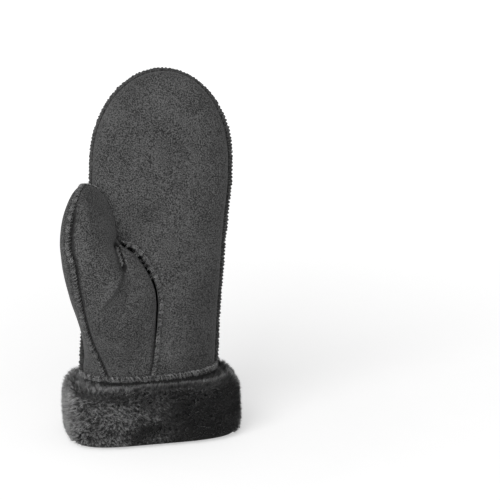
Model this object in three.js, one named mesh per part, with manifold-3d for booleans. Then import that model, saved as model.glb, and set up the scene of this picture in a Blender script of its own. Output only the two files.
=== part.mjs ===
// A left-hand winter mitten of bonded suede and plush, standing on its turned-up plush cuff.
// It is four sewn panels, each a wall of even thickness whose seam edges stand proud, and the cuff.
// +Z runs up to the fingertips, the palm faces -Y and the thumb is on the -X side. Sizes are millimetres.

import * as THREE from 'three';
import Module from 'manifold-3d';

const wasm = await Module();
wasm.setup();

// Walls and seams
const WALL = 4;
const GAP = 0.3;
const LIP_INSET = 0.15;
const LIP_WIDTH = 1.5;
const LIP_HEIGHT = 2.2;
const LIP_ROOT = 1.2;
const LIP_CHAMFER = 0.6;
const LIP_TAPER = 0.4;

// Heights of the wrist seam, of the thumb's web, and of the two arches that close the hand and the thumb
const WRIST = 40;
const WEB = 146;
const HAND_ARCH = { base: 199, rise: 66, depthPower: 0.8 };
const THUMB_ARCH = { base: 150, rise: 40.2 };
const TIP_SHARE = 0.56;
const FINGERTIP_CURL = 7;

// Across the hand the wall follows depth * cos(angle)^fullness, so it is fuller than an ellipse
const PALM_FULLNESS = 0.86;
const BACK_FULLNESS = 0.9;

const HAND_ROWS = [
  { height: 40, centre: -4.2, halfWidth: 48.6, palmDepth: 24.0, backDepth: 25.0 },
  { height: 65, centre: -3.0, halfWidth: 48.6, palmDepth: 24.5, backDepth: 26.0 },
  { height: 95, centre: -1.0, halfWidth: 48.2, palmDepth: 24.5, backDepth: 27.0 },
  { height: 124, centre: 0.8, halfWidth: 48.8, palmDepth: 23.5, backDepth: 27.0 },
  { height: 154, centre: 3.0, halfWidth: 49.0, palmDepth: 22.5, backDepth: 26.0 },
  { height: 183, centre: 5.6, halfWidth: 49.5, palmDepth: 21.5, backDepth: 24.0 },
  { height: 199, centre: 6.2, halfWidth: 49.3, palmDepth: 21.0, backDepth: 22.5 },
];

// The curved palm seam, from the wrist to the thumb's crotch, and on up the thumb's inner edge
const PALM_SEAM = [
  { height: 40, across: -7.6 },
  { height: 52, across: -6.4 },
  { height: 62, across: -4.8 },
  { height: 75, across: -3.4 },
  { height: 88, across: -2.3 },
  { height: 100, across: -1.5 },
  { height: 108, across: -1.9 },
  { height: 116, across: -3.6 },
  { height: 125, across: -7.3 },
  { height: 133.5, across: -11.8 },
  { height: 141, across: -17.5 },
  { height: 146, across: -25.0 },
  { height: 150, across: -28.8 },
];

// The thumb's sections: an ellipse from angle first to angle last, its ends drawn to the seams
// Angle 0 is the finger side, 90 the front, 180 the outer side. seam is where the outer seam lies along it
const THUMB_ROWS = [
  { height: 40, x: -4.0, y: 0.0, halfWidth: 48.6, halfDepth: 24.0, first: 93, last: 180, seam: 0.44 },
  { height: 59, x: -11.0, y: -5.0, halfWidth: 40.6, halfDepth: 23.5, first: 82, last: 190, seam: 0.55 },
  { height: 75, x: -22.5, y: -11.0, halfWidth: 32.5, halfDepth: 23.5, first: 60, last: 203, seam: 0.592 },
  { height: 92, x: -32.0, y: -17.0, halfWidth: 27.5, halfDepth: 22.5, first: 40, last: 220, seam: 0.573 },
  { height: 109, x: -40.2, y: -22.0, halfWidth: 24.0, halfDepth: 20.5, first: 26, last: 238, seam: 0.522 },
  { height: 125, x: -46.2, y: -25.5, halfWidth: 21.6, halfDepth: 18.5, first: 14, last: 252, seam: 0.48 },
  { height: 141.5, x: -49.6, y: -28.0, halfWidth: 20.2, halfDepth: 16.5, first: -2, last: 262, seam: 0.48 },
  { height: 150, x: -50.4, y: -28.5, halfWidth: 20.0, halfDepth: 16.0, first: -6, last: 264, seam: 0.495 },
];
const THUMB_DRIFT = { x: -3, y: 9 };
const CORE_RISE = 0.5;
const MAX_SHRINK = 0.4;
const END_PULL = { inner: 0.5, outer: 0.4 };
const WEB_LIFT = 0.6;
const OUTER_LIFT = 2.6;
const OUTER_INSET = 3;

// Dents and folds of the front, each round a line from one place to another; push is how far it stands out
const FOLDS = [
  { fromX: -30, fromZ: 145, toX: -27.5, toZ: 130, reach: 5.5, push: -3.4 },
  { fromX: -30, fromZ: 126, toX: -43, toZ: 107, reach: 6.5, push: 1.8 },
  { fromX: -20, fromZ: 121, toX: -31, toZ: 99, reach: 8, push: -1.6 },
  { fromX: -22, fromZ: 159, toX: -9, toZ: 152, reach: 11, push: -1.8 },
];
const FOLD_START = 2;
const FOLD_FULL = 12;

// Grid counts
const STEPS = { palm: 20, palmLeft: 8, back: 18, thumbFront: 11, thumbSide: 7, thumbRear: 5 };
const LOWER_HEIGHTS = [WRIST, 45.5, 53, 61, 68, 76, 84, 93, 102, 110, 118, 125, 131, 136, 141, WEB];
const UPPER_HEIGHTS = [151, 163, 175, 187];
const HAND_ARCH_ANGLES = [0, 13, 25, 36, 46, 55, 63, 70, 76.5];
const THUMB_ARCH_ANGLES = [0, 14, 28, 41, 53, 64, 73];

// The cuff: an oval ring, rounded off top and bottom, with its plush in short tufts
const CUFF = {
  centre: -2.1, halfWidth: 64.4, halfDepth: 36.5, squareness: 0.64, mouth: 7, columns: 56, tuft: 0.045,
};

const at = (x, y, z) => new THREE.Vector3(x, y, z);
const radians = THREE.MathUtils.degToRad;
const { lerp, smoothstep, clamp } = THREE.MathUtils;

// A named column of a table at any height, by a curve through its rows
function column(rows, key, height) {
  const z = clamp(height, rows[0].height, rows[rows.length - 1].height);
  let i = 0;
  while (i < rows.length - 2 && z > rows[i + 1].height) i += 1;
  const span = rows[i + 1].height - rows[i].height;
  const slopeAt = (k) => {
    const low = rows[Math.max(k - 1, 0)];
    const high = rows[Math.min(k + 1, rows.length - 1)];
    return (high[key] - low[key]) / (high.height - low.height);
  };
  const t = (z - rows[i].height) / span;
  const a = rows[i][key];
  const b = rows[i + 1][key];
  const rise = (2 * t ** 3 - 3 * t ** 2 + 1) * a + (3 * t ** 2 - 2 * t ** 3) * b;
  return rise + span * ((t ** 3 - 2 * t ** 2 + t) * slopeAt(i) + (t ** 3 - t ** 2) * slopeAt(i + 1));
}

function row(rows, height) {
  return Object.fromEntries(Object.keys(rows[0]).map((key) => [key, column(rows, key, height)]));
}

// How much of a section is left at a height inside an arch
const archShare = (arch, height) => Math.sqrt(Math.max(0, 1 - clamp((height - arch.base) / arch.rise, 0, 1) ** 2));

function handRow(height) {
  const section = row(HAND_ROWS, height);
  const share = archShare(HAND_ARCH, height);
  section.halfWidth *= share;
  section.palmDepth *= share ** HAND_ARCH.depthPower;
  section.backDepth *= share ** HAND_ARCH.depthPower;
  return section;
}

// The hand's outer surface. Angle -90 is the thumb-side seam and 90 the other
function handPoint(side, angle, height) {
  const section = handRow(height);
  const depth = side < 0 ? section.palmDepth : section.backDepth;
  const fullness = side < 0 ? PALM_FULLNESS : BACK_FULLNESS;
  const cosine = Math.cos(angle);
  const out = Math.sign(cosine) * Math.abs(cosine) ** fullness;
  return at(section.centre + section.halfWidth * Math.sin(angle), side * (GAP / 2 + depth * out), height);
}

const palmAngle = (x, height) => {
  const section = handRow(height);
  return Math.asin(clamp((x - section.centre) / section.halfWidth, -1, 1));
};

const palmPoint = (x, height) => handPoint(-1, palmAngle(x, height), height);

// The unit normal of a surface of two parameters, turned to point away from an inner point, and level at the wrist
function normalOf(surface, s, t, inside) {
  const step = 0.004;
  const across = surface(s + step, t).sub(surface(s - step, t));
  const along = surface(s, t + step).sub(surface(s, t - step));
  const normal = across.cross(along);
  if (t === WRIST) normal.setZ(0);
  normal.normalize();
  return normal.dot(surface(s, t).sub(inside)) < 0 ? normal.negate() : normal;
}

const handNormal = (side, angle, height) => normalOf(
  (s, t) => handPoint(side, s, t), angle, height, at(handRow(height).centre, 0, height - 1));

// The two ends of the thumb's section: on the palm seam and the hand's outline up to the web, free above it
function thumbEnds(height) {
  const z = Math.min(height, THUMB_ARCH.base);
  const section = handRow(z);
  const lift = z < WEB ? 0 : 1;
  const inner = palmPoint(column(PALM_SEAM, 'across', z), z);
  inner.y -= WEB_LIFT * lift;
  const outer = palmPoint(section.centre - section.halfWidth + OUTER_INSET * lift, z);
  outer.y -= OUTER_LIFT * lift;
  return { inner, outer };
}

// The thumb's section before its arch closes it: share 0 is the finger-side end and 1 the outer end
function thumbBase(share, height) {
  const section = row(THUMB_ROWS, height);
  const ends = thumbEnds(height);
  const ellipse = (s) => {
    const angle = radians(lerp(section.first, section.last, s));
    const x = section.x + section.halfWidth * Math.cos(angle);
    return at(x, section.y - section.halfDepth * Math.sin(angle), height);
  };
  const innerPull = 1 - smoothstep(share, 0, END_PULL.inner);
  const outerPull = 1 - smoothstep(1 - share, 0, END_PULL.outer);
  return ellipse(share)
    .addScaledVector(ends.inner.sub(ellipse(0)), innerPull)
    .addScaledVector(ends.outer.sub(ellipse(1)), outerPull)
    .setZ(height);
}

// The wall behind the thumb, which lies against the palm: share 0 is the outer end and 1 the finger-side end
function rearBase(share, height) {
  const ends = thumbEnds(height);
  const x = lerp(ends.outer.x, ends.inner.x, share);
  const point = palmPoint(x, Math.min(height, THUMB_ARCH.base));
  return at(x, point.y - lerp(OUTER_LIFT, WEB_LIFT, share), height);
}

// The thumb's axis, which drifts towards the hand in the arch
function thumbAxis(height) {
  const section = row(THUMB_ROWS, height);
  const gone = 1 - archShare(THUMB_ARCH, height);
  return at(section.x + THUMB_DRIFT.x * gone, section.y + THUMB_DRIFT.y * gone, height);
}

// Above its arch's base the thumb shrinks about its axis
function arched(base, share, height) {
  const z = Math.min(height, THUMB_ARCH.base);
  const spoke = base(share, z).sub(thumbAxis(z));
  return thumbAxis(height).addScaledVector(spoke, archShare(THUMB_ARCH, height));
}

// The point that the thumb's walls close in on, which lags behind them in the arch
function thumbCore(height) {
  const lag = Math.max(0, height - THUMB_ARCH.base) * CORE_RISE;
  return thumbAxis(height).setZ(height - lag);
}

const thumbPoint = (share, height) => arched(thumbBase, share, height);
const rearPoint = (share, height) => arched(rearBase, share, height);
const thumbNormal = (share, height) => normalOf(thumbPoint, share, height, thumbCore(height));
const rearNormal = (share, height) => normalOf(rearPoint, share, height, thumbCore(height));
const outerSeam = (height) => column(THUMB_ROWS, 'seam', height);

// Where the thumb's outer side meets the wall behind it, both turn in along the middle direction
const outerCorner = (height) => thumbNormal(1, height).add(rearNormal(0, height)).normalize();

// A share of the short straight seam between two points on which a panel's last row closes
function closingPoint(first, last, height, share) {
  const low = first.clone().setZ(height);
  const high = last.clone().setZ(height);
  const centre = low.clone().lerp(high, 0.5);
  return centre.clone().lerp(low, TIP_SHARE).lerp(centre.clone().lerp(high, TIP_SHARE), share);
}

// The frames of a seam: each point's outward normal, and the direction across the seam from side -1 to side 1
function seamFrames(cells) {
  return cells.map(({ point, normal }, k) => {
    const before = cells[Math.max(k - 1, 0)].point;
    const after = cells[Math.min(k + 1, cells.length - 1)].point;
    const tangent = after.clone().sub(before).normalize();
    return { point, normal, beside: tangent.cross(normal).normalize() };
  });
}

// A seam frame's edge of the panel on one side, half a gap from the seam
const edgeOf = ({ point, normal, beside }, side) => ({
  point: point.clone().addScaledVector(beside, (side * GAP) / 2),
  normal,
});

function geometryOf(points, triangles) {
  const geometry = new THREE.BufferGeometry();
  geometry.setAttribute('position', new THREE.Float32BufferAttribute(points.flatMap((p) => p.toArray()), 3));
  geometry.setIndex(triangles.flat());
  return geometry;
}

const signedVolume = (points, triangles) => triangles.reduce(
  (sum, [a, b, c]) => sum + points[a].dot(points[b].clone().cross(points[c])), 0);

function solidOf(points, triangles) {
  const facing = signedVolume(points, triangles) < 0 ? triangles.map(([a, b, c]) => [a, c, b]) : triangles;
  const geometry = geometryOf(points, facing);
  return new wasm.Manifold(new wasm.Mesh({
    numProp: 3,
    vertProperties: geometry.attributes.position.array,
    triVerts: new Uint32Array(geometry.index.array),
  }));
}

// Two triangles for a quad, cut along its shorter diagonal
function quad(points, a, b, c, d) {
  const shorter = points[a].distanceTo(points[c]) <= points[b].distanceTo(points[d]);
  return shorter ? [[a, b, c], [a, c, d]] : [[a, b, d], [b, c, d]];
}

function innerPoint({ point, normal, core }) {
  if (!core) return point.clone().addScaledVector(normal, -WALL);
  const out = point.clone().sub(core);
  return point.clone().addScaledVector(out, -Math.min(WALL / out.dot(normal), MAX_SHRINK));
}

// A wall on a grid of surface cells: the outer faces, the same faces one wall further in, and the rim
// A cell's wall goes in along its normal, or towards its core if it has one
function wallSolid(grid, kept = () => true) {
  const rows = grid.length;
  const columns = grid[0].length;
  const index = (i, j) => i * columns + j;
  const outer = grid.flat().map((cell) => cell.point);
  const inner = grid.flat().map(innerPoint);
  const points = [...outer, ...inner];
  const deep = outer.length;
  const triangles = [];
  const edges = new Map();
  const addEdge = (a, b) => {
    const back = `${b},${a}`;
    if (edges.has(back)) edges.delete(back);
    else edges.set(`${a},${b}`, [a, b]);
  };
  for (let i = 0; i < rows - 1; i += 1) {
    for (let j = 0; j < columns - 1; j += 1) {
      if (!kept(i, j)) continue;
      const ring = [index(i, j), index(i, j + 1), index(i + 1, j + 1), index(i + 1, j)];
      triangles.push(...quad(points, ...ring));
      triangles.push(...quad(points, ...ring.map((k) => k + deep).reverse()));
      ring.forEach((k, n) => addEdge(k, ring[(n + 1) % 4]));
    }
  }
  for (const [a, b] of edges.values()) {
    triangles.push(...quad(points, b, a, a + deep, b + deep));
  }
  return compactSolid(points, triangles);
}

// Leaves out the grid points that no kept face uses
function compactSolid(points, triangles) {
  const used = [...new Set(triangles.flat())];
  const place = new Map(used.map((k, n) => [k, n]));
  return solidOf(used.map((k) => points[k]), triangles.map((t) => t.map((k) => place.get(k))));
}

// The raised edge of one layer along a seam: a five-sided bar swept along the seam's frames, lower at its ends
function lipSolid(frames, side) {
  const points = frames.flatMap(({ point, normal, beside }, k) => {
    const height = LIP_HEIGHT * (k === 0 || k === frames.length - 1 ? LIP_TAPER : 1);
    const corner = (out, up) => point.clone()
      .addScaledVector(beside, side * out)
      .addScaledVector(normal, up);
    const near = GAP / 2 + LIP_INSET;
    const far = near + LIP_WIDTH;
    return [
      corner(near, -LIP_ROOT),
      corner(far, -LIP_ROOT),
      corner(far, height - LIP_CHAMFER),
      corner(far - LIP_CHAMFER, height),
      corner(near, height),
    ];
  });
  const sides = 5;
  const triangles = [];
  for (let k = 0; k < frames.length - 1; k += 1) {
    for (let n = 0; n < sides; n += 1) {
      const m = (n + 1) % sides;
      const [a, b] = [k * sides + n, k * sides + m];
      triangles.push([a, b, b + sides], [a, b + sides, a + sides]);
    }
  }
  const end = (frames.length - 1) * sides;
  for (let n = 1; n < sides - 1; n += 1) {
    triangles.push([0, n + 1, n], [end, end + n, end + n + 1]);
  }
  return solidOf(points, triangles);
}

// The rows of the hand's panels, and those of the thumb's
const archHeights = (arch, angles) => angles.map((a) => arch.base + arch.rise * Math.sin(radians(a)));
const handHeights = [...LOWER_HEIGHTS, ...UPPER_HEIGHTS, ...archHeights(HAND_ARCH, HAND_ARCH_ANGLES)];
const thumbHeights = [...LOWER_HEIGHTS, ...archHeights(THUMB_ARCH, THUMB_ARCH_ANGLES)];
const handTop = HAND_ARCH.base + HAND_ARCH.rise;
const thumbTop = THUMB_ARCH.base + THUMB_ARCH.rise;
const webRow = LOWER_HEIGHTS.indexOf(WEB);
const LIP_ROW = 1;

// The seam all round the thumb's front panel: up the palm seam and the inner edge, over the tip and down outside
// Above the web the seam stands straight out from the thumb's core
const spoke = (point, height) => point.clone().sub(thumbCore(height)).normalize();
const palmNormal = (point) => handNormal(-1, palmAngle(point.x, point.z), point.z);
const innerCells = thumbHeights.map((height, i) => {
  const point = thumbPoint(0, height);
  return { point, normal: i < webRow ? palmNormal(point) : spoke(point, height) };
});
const outerCells = thumbHeights.map((height, i) => {
  const point = thumbPoint(outerSeam(height), height);
  return { point, normal: i < webRow ? thumbNormal(outerSeam(height), height) : spoke(point, height) };
});
const lastInner = innerCells[innerCells.length - 1].point;
const lastOuter = outerCells[outerCells.length - 1].point;
const tipPoint = (share) => closingPoint(lastInner, lastOuter, thumbTop, share);
const tipAcross = at(lastOuter.y - lastInner.y, lastInner.x - lastOuter.x, 0).normalize();
const tipCell = (share, side) => ({
  point: tipPoint(share).addScaledVector(tipAcross, (side * GAP) / 2),
  normal: spoke(tipPoint(share), thumbTop),
});
const frontSeam = seamFrames([
  ...innerCells,
  ...[0, 1].map((share) => ({ point: tipPoint(share), normal: spoke(tipPoint(share), thumbTop) })),
  ...outerCells.slice().reverse(),
]);
const innerFrame = (i) => frontSeam[i];
const outerFrame = (i) => frontSeam[frontSeam.length - 1 - i];

// The palm panel's edge at the web, a little further off than the seam's half gap
const webPoint = innerCells[webRow].point;
const webEdge = edgeOf(seamFrames([
  innerCells[webRow - 1],
  { point: webPoint, normal: palmNormal(webPoint) },
  innerCells[webRow + 1],
])[1], 3);

// One panel of the hand, with its last row closed on the seam over the fingertips
function handGrid(side, angleAt, steps) {
  const grid = handHeights.map((height) => Array.from({ length: steps + 1 }, (_, j) => {
    const angle = angleAt(j, height);
    return { point: handPoint(side, angle, height), normal: handNormal(side, angle, height) };
  }));
  const last = grid[grid.length - 1];
  grid.push(last.map((_, j) => ({
    point: closingPoint(last[0].point, last[steps].point, handTop, j / steps).setY((side * GAP) / 2),
    normal: at(0, 0, 1),
  })));
  return grid;
}

// The palm's columns: those up to palmLeft end at the curved seam, or above it at a line that drifts to the middle
function palmColumn(j, height) {
  const z = Math.min(height, WEB);
  const seam = palmAngle(column(PALM_SEAM, 'across', z), z);
  const middle = lerp(seam, radians(-8), smoothstep(height, WEB, HAND_ARCH.base));
  if (j <= STEPS.palmLeft) return lerp(-Math.PI / 2, middle, j / STEPS.palmLeft);
  return lerp(middle, Math.PI / 2, (j - STEPS.palmLeft) / (STEPS.palm - STEPS.palmLeft));
}

const backAngle = (j) => lerp(-Math.PI / 2, Math.PI / 2, j / STEPS.back);

// The seam round the hand's outline: up the thumb's side, over the fingertips and down the other side
const outlineCell = (angle, height) => ({
  point: handPoint(-1, angle, height).setY(0),
  normal: handNormal(-1, angle, height).setY(0).normalize(),
});
const outlineSide = (angle) => handHeights.map((height) => outlineCell(angle, height));
const lastSides = [-1, 1].map((side) => outlineCell((side * Math.PI) / 2, handHeights[handHeights.length - 1]));
const outline = seamFrames([
  ...outlineSide(-Math.PI / 2),
  ...[0, 1].map((share) => ({
    point: closingPoint(lastSides[0].point, lastSides[1].point, handTop, share),
    normal: at(0, 0, 1),
  })),
  ...outlineSide(Math.PI / 2).reverse(),
]);

function backPanel() {
  const lip = outline.slice(LIP_ROW, outline.length - LIP_ROW);
  return wallSolid(handGrid(1, backAngle, STEPS.back)).add(lipSolid(lip, -1));
}

function palmPanel() {
  const grid = handGrid(-1, palmColumn, STEPS.palm);
  for (let i = 0; i <= webRow; i += 1) {
    grid[i][STEPS.palmLeft] = i < webRow ? edgeOf(innerFrame(i), 1) : webEdge;
  }
  const solid = wallSolid(grid, (i, j) => i >= webRow || j >= STEPS.palmLeft);
  return solid
    .add(lipSolid(outline.slice(webRow, outline.length - LIP_ROW), 1))
    .add(lipSolid(frontSeam.slice(LIP_ROW, webRow), 1));
}

// Above the web the thumb's walls close in on its core
const withCores = (grid) => grid.map((cells, i) => {
  if (i < webRow) return cells;
  const core = thumbCore(thumbHeights[i] ?? thumbTop);
  return cells.map((cell) => ({ ...cell, core }));
});

function thumbFront() {
  const steps = STEPS.thumbFront;
  const grid = thumbHeights.map((height, i) => Array.from({ length: steps + 1 }, (_, j) => {
    if (j === 0) return edgeOf(innerFrame(i), -1);
    if (j === steps) return edgeOf(outerFrame(i), -1);
    const share = (outerSeam(height) * j) / steps;
    return { point: thumbPoint(share, height), normal: thumbNormal(share, height) };
  }));
  grid.push(Array.from({ length: steps + 1 }, (_, j) => tipCell(j / steps, -1)));
  return wallSolid(withCores(grid))
    .add(lipSolid(frontSeam.slice(LIP_ROW, webRow), -1))
    .add(lipSolid(frontSeam.slice(thumbHeights.length, frontSeam.length - LIP_ROW), -1));
}

// The outer side of the thumb, and above the web the wall behind it as well
function thumbSide() {
  const sides = STEPS.thumbSide;
  const steps = sides + STEPS.thumbRear;
  const cell = (height, i, j) => {
    if (j === 0) return edgeOf(outerFrame(i), 1);
    if (j < sides) {
      const share = lerp(outerSeam(height), 1, j / sides);
      return { point: thumbPoint(share, height), normal: thumbNormal(share, height) };
    }
    if (j === sides) {
      const normal = i < webRow ? handNormal(-1, -Math.PI / 2, height) : outerCorner(height);
      return { point: thumbPoint(1, height), normal };
    }
    if (j === steps) return edgeOf(innerFrame(i), 1);
    const share = (j - sides) / STEPS.thumbRear;
    return { point: rearPoint(share, height), normal: rearNormal(share, height) };
  };
  const grid = thumbHeights.map((height, i) => Array.from({ length: steps + 1 }, (_, j) => cell(height, i, j)));
  grid.push(Array.from({ length: steps + 1 }, (_, j) => tipCell(1 - j / steps, 1)));
  return wallSolid(withCores(grid), (i, j) => i >= webRow || j < sides)
    .add(lipSolid(outline.slice(LIP_ROW, webRow), 1))
    .add(lipSolid(frontSeam.slice(thumbHeights.length, frontSeam.length - LIP_ROW), 1));
}

// The cuff's section: share 0 is the mouth's wall and 1 the outer face of the pile
const CUFF_SECTION = [
  { share: 0.0, height: 6 }, { share: 0.0, height: 17 }, { share: 0.0, height: 28 },
  { share: 0.04, height: WRIST - GAP }, { share: 0.42, height: WRIST - GAP },
  { share: 0.5, height: 43 }, { share: 0.62, height: 44.8 }, { share: 0.76, height: 44.4 },
  { share: 0.88, height: 41.5 }, { share: 0.95, height: 36 }, { share: 0.98, height: 29.5 },
  { share: 1.0, height: 22.5 }, { share: 1.0, height: 15 }, { share: 0.98, height: 8 },
  { share: 0.93, height: 2.8 }, { share: 0.82, height: 0 }, { share: 0.3, height: 0 },
  { share: 0.1, height: 1.6 },
];

function cuffPoint(angle, share, height) {
  const section = handRow(WRIST);
  const oval = (centre, halfWidth, halfDepth, power) => {
    const c = Math.cos(angle);
    const s = Math.sin(angle);
    return at(centre + halfWidth * Math.sign(c) * Math.abs(c) ** power,
      halfDepth * Math.sign(s) * Math.abs(s) ** power, height);
  };
  const mouth = oval(section.centre, section.halfWidth - CUFF.mouth, section.palmDepth - CUFF.mouth, 0.95);
  const face = oval(CUFF.centre, CUFF.halfWidth, CUFF.halfDepth, CUFF.squareness);
  return mouth.lerp(face, share);
}

// Neighbouring tufts stand in and out by turns on the pile's free faces
function tuft(i, j, { share, height }) {
  if (share < 0.55 || height === 0) return 0;
  const uneven = 0.75 + 0.25 * Math.sin(i * 5.3 + j * 2.9);
  return ((i + j) % 2 ? 1 : -1) * CUFF.tuft * uneven;
}

function cuffSolid() {
  const columns = CUFF.columns;
  const count = CUFF_SECTION.length;
  const points = [];
  for (let i = 0; i < columns; i += 1) {
    CUFF_SECTION.forEach((corner, j) => {
      points.push(cuffPoint((i / columns) * Math.PI * 2, corner.share + tuft(i, j, corner), corner.height));
    });
  }
  const triangles = [];
  for (let i = 0; i < columns; i += 1) {
    const next = (i + 1) % columns;
    for (let j = 0; j < count; j += 1) {
      const k = (j + 1) % count;
      triangles.push(...quad(points, i * count + j, i * count + k, next * count + k, next * count + j));
    }
  }
  return solidOf(points, triangles);
}

// How far the folds push the front out at a place
function foldPush(x, z) {
  return FOLDS.reduce((sum, { fromX, fromZ, toX, toZ, reach, push }) => {
    const along = clamp(((x - fromX) * (toX - fromX) + (z - fromZ) * (toZ - fromZ))
      / ((toX - fromX) ** 2 + (toZ - fromZ) ** 2), 0, 1);
    const away = Math.hypot(x - lerp(fromX, toX, along), z - lerp(fromZ, toZ, along));
    return sum + push * Math.exp(-((away / reach) ** 2));
  }, 0);
}

// Every piece is bent alike: the fingers curl a little towards the palm and the front takes its folds
function bent(x, y, z) {
  const rise = Math.max(0, (z - WRIST) / (handTop - WRIST));
  const front = smoothstep(-y, FOLD_START, FOLD_FULL);
  return at(x, y - FINGERTIP_CURL * rise ** 2 - foldPush(x, z) * front, z);
}

function piece(name, solid, material) {
  const mesh = solid.getMesh();
  const points = [];
  for (let k = 0; k < mesh.numVert; k += 1) {
    points.push(bent(...mesh.vertProperties.subarray(k * mesh.numProp, k * mesh.numProp + 3)));
  }
  const triangles = Array.from({ length: mesh.numTri }, (_, k) => [...mesh.triVerts.subarray(k * 3, k * 3 + 3)]);
  const made = new THREE.Mesh(geometryOf(points, triangles), material);
  made.name = name;
  made.geometry.computeVertexNormals();
  return made;
}

const suede = new THREE.MeshStandardMaterial({ color: 0x4a4a4a, roughness: 0.92, metalness: 0 });
const plush = new THREE.MeshStandardMaterial({ color: 0x2f2f30, roughness: 0.98, metalness: 0 });

const mitten = new THREE.Group();
mitten.add(
  piece('back_panel', backPanel(), suede),
  piece('palm_panel', palmPanel(), suede),
  piece('thumb_front', thumbFront(), suede),
  piece('thumb_side', thumbSide(), suede),
  piece('fur_cuff', cuffSolid(), plush),
);

// The origin is under the middle of the whole mitten
const box = new THREE.Box3().setFromObject(mitten);
const centre = box.getCenter(at(0, 0, 0));
mitten.position.set(-centre.x, -centre.y, -box.min.z);

export default mitten;
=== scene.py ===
import bmesh
import bpy
import numpy as np
from mathutils import Matrix


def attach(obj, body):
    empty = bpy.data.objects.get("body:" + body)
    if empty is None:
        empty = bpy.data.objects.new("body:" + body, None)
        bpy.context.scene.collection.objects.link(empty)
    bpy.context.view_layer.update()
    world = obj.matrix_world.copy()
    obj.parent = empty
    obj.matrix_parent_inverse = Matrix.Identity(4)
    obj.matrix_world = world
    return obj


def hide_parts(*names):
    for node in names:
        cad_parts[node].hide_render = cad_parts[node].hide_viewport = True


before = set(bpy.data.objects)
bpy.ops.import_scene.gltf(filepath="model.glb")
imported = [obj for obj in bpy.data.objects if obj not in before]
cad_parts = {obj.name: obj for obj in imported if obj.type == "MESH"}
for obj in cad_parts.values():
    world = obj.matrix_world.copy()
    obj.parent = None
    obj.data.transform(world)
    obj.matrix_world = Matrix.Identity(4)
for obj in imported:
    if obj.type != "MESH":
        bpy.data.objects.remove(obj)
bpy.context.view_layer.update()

# A left-hand winter mitten of bonded suede and plush, standing on its turned-up plush cuff.
# The tables are in millimetres in the pattern's own frame: +Z runs up to the fingertips, the palm faces -Y
# and the thumb is on the -X side. Points are bent, moved to the part's origin and made metres as they go
# into a mesh.

MM = 0.001
PART_SHIFT = np.array([3.168, 4.105, 0.0])

# The wall, the gap between palm and back, and the heights of the wrist seam, of the thumb's web and of the
# two arches that close the hand and the thumb
WALL = 4.0
GAP = 0.3
WRIST = 40.0
WEB, WEB_TOP = 146.0, 163.0
HAND_BASE, HAND_RISE, HAND_DEPTH_POWER = 199.0, 66.0, 0.8
THUMB_BASE, THUMB_RISE = 150.0, 40.2
HAND_TOP = HAND_BASE + HAND_RISE
THUMB_TOP = THUMB_BASE + THUMB_RISE
FINGERTIP_CURL = 7.0
PALM_FULLNESS, BACK_FULLNESS = 0.86, 0.9

# Height, centre, half width, depth of the palm, depth of the back
HAND = np.array([
    (40, -4.2, 48.6, 24.0, 25.0), (65, -3.0, 48.6, 24.5, 26.0), (95, -1.0, 48.2, 24.5, 27.0),
    (124, 0.8, 48.8, 23.5, 27.0), (154, 3.0, 49.0, 22.5, 26.0), (183, 5.6, 49.5, 21.5, 24.0),
    (199, 6.2, 49.3, 21.0, 22.5),
])

# The curved palm seam: height, place across
PALM_SEAM = np.array([
    (40, -6.2), (52, -5.1), (62, -3.5), (75, -2.2), (88, -1.2), (100, -0.4), (108, -0.8), (116, -2.4),
    (125, -6.1), (133.5, -10.8), (141, -16.9), (146, -25.0), (150, -28.8),
])

# The thumb's sections: height, centre x and y, half width, half depth, first and last angle, place of the
# outer seam
THUMB = np.array([
    (40, -4.0, 0.0, 48.6, 24.0, 93, 180, 0.44), (59, -11.0, -5.0, 40.6, 23.5, 82, 190, 0.55),
    (75, -22.5, -11.0, 32.5, 23.5, 60, 203, 0.592), (92, -32.0, -17.0, 27.5, 22.5, 40, 220, 0.573),
    (109, -40.2, -22.0, 24.0, 20.5, 26, 238, 0.526), (125, -46.2, -25.5, 21.6, 18.5, 14, 252, 0.498),
    (141.5, -49.6, -28.0, 20.2, 16.5, -2, 262, 0.508), (150, -50.4, -28.5, 20.0, 16.0, -6, 264, 0.532),
])

# Over the tip the section's middle drifts across and back, and its core rises by a share of what the walls
# do. The lining shrinks towards the core by a share at most.
THUMB_DRIFT = (-1.0, 9.0)
CORE_RISE, MAX_SHRINK = 0.5, 0.4

# The shares of the section that are drawn to its two ends, and how far these lie off the palm and further in
# above the web. The outer seam turns towards the front by a share from a height on.
INNER_PULL, OUTER_PULL = 0.5, 0.4
WEB_LIFT, OUTER_LIFT, OUTER_INSET = 0.6, 2.6, 3.0
TIP_SEAM_TURN, TIP_TURN_BASE = 0.03, 162

# How gently the thumb's finger side slopes, by height: 1 is round, less is blunter
SLOPES = np.array([
    (40, 1.0), (104, 1.0), (122, 1.3), (140, 1.45), (147, 1.25), (153, 1.15), (162, 1.4), (172, 1.65),
    (191, 1.6),
])

# Above the web the thumb's inner edge lies on the palm: the gap that is left, the shares of the front and of
# the rear that go with it, and the heights over which this begins and ends
REST_GAP, REST_SHARE, REAR_REST_SHARE = 0.12, 0.42, 0.2
REST_BEGINS, REST_ENDS = (WEB, WEB + 8), (174, 189)

# Dents and folds of the front: a line from x, z to x, z, its reach, and how far it stands out. They fade
# out towards the hand's edge, between two depths.
FOLDS = [
    (-30, 145, -27.5, 130, 5.5, -3.4), (-30, 126, -43, 107, 6.5, 1.0),
    (-20, 121, -31, 99, 8, -1.6), (-24, 155, -4, 163, 9, -2.8),
]
FOLD_FADE = (2, 12)

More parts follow.
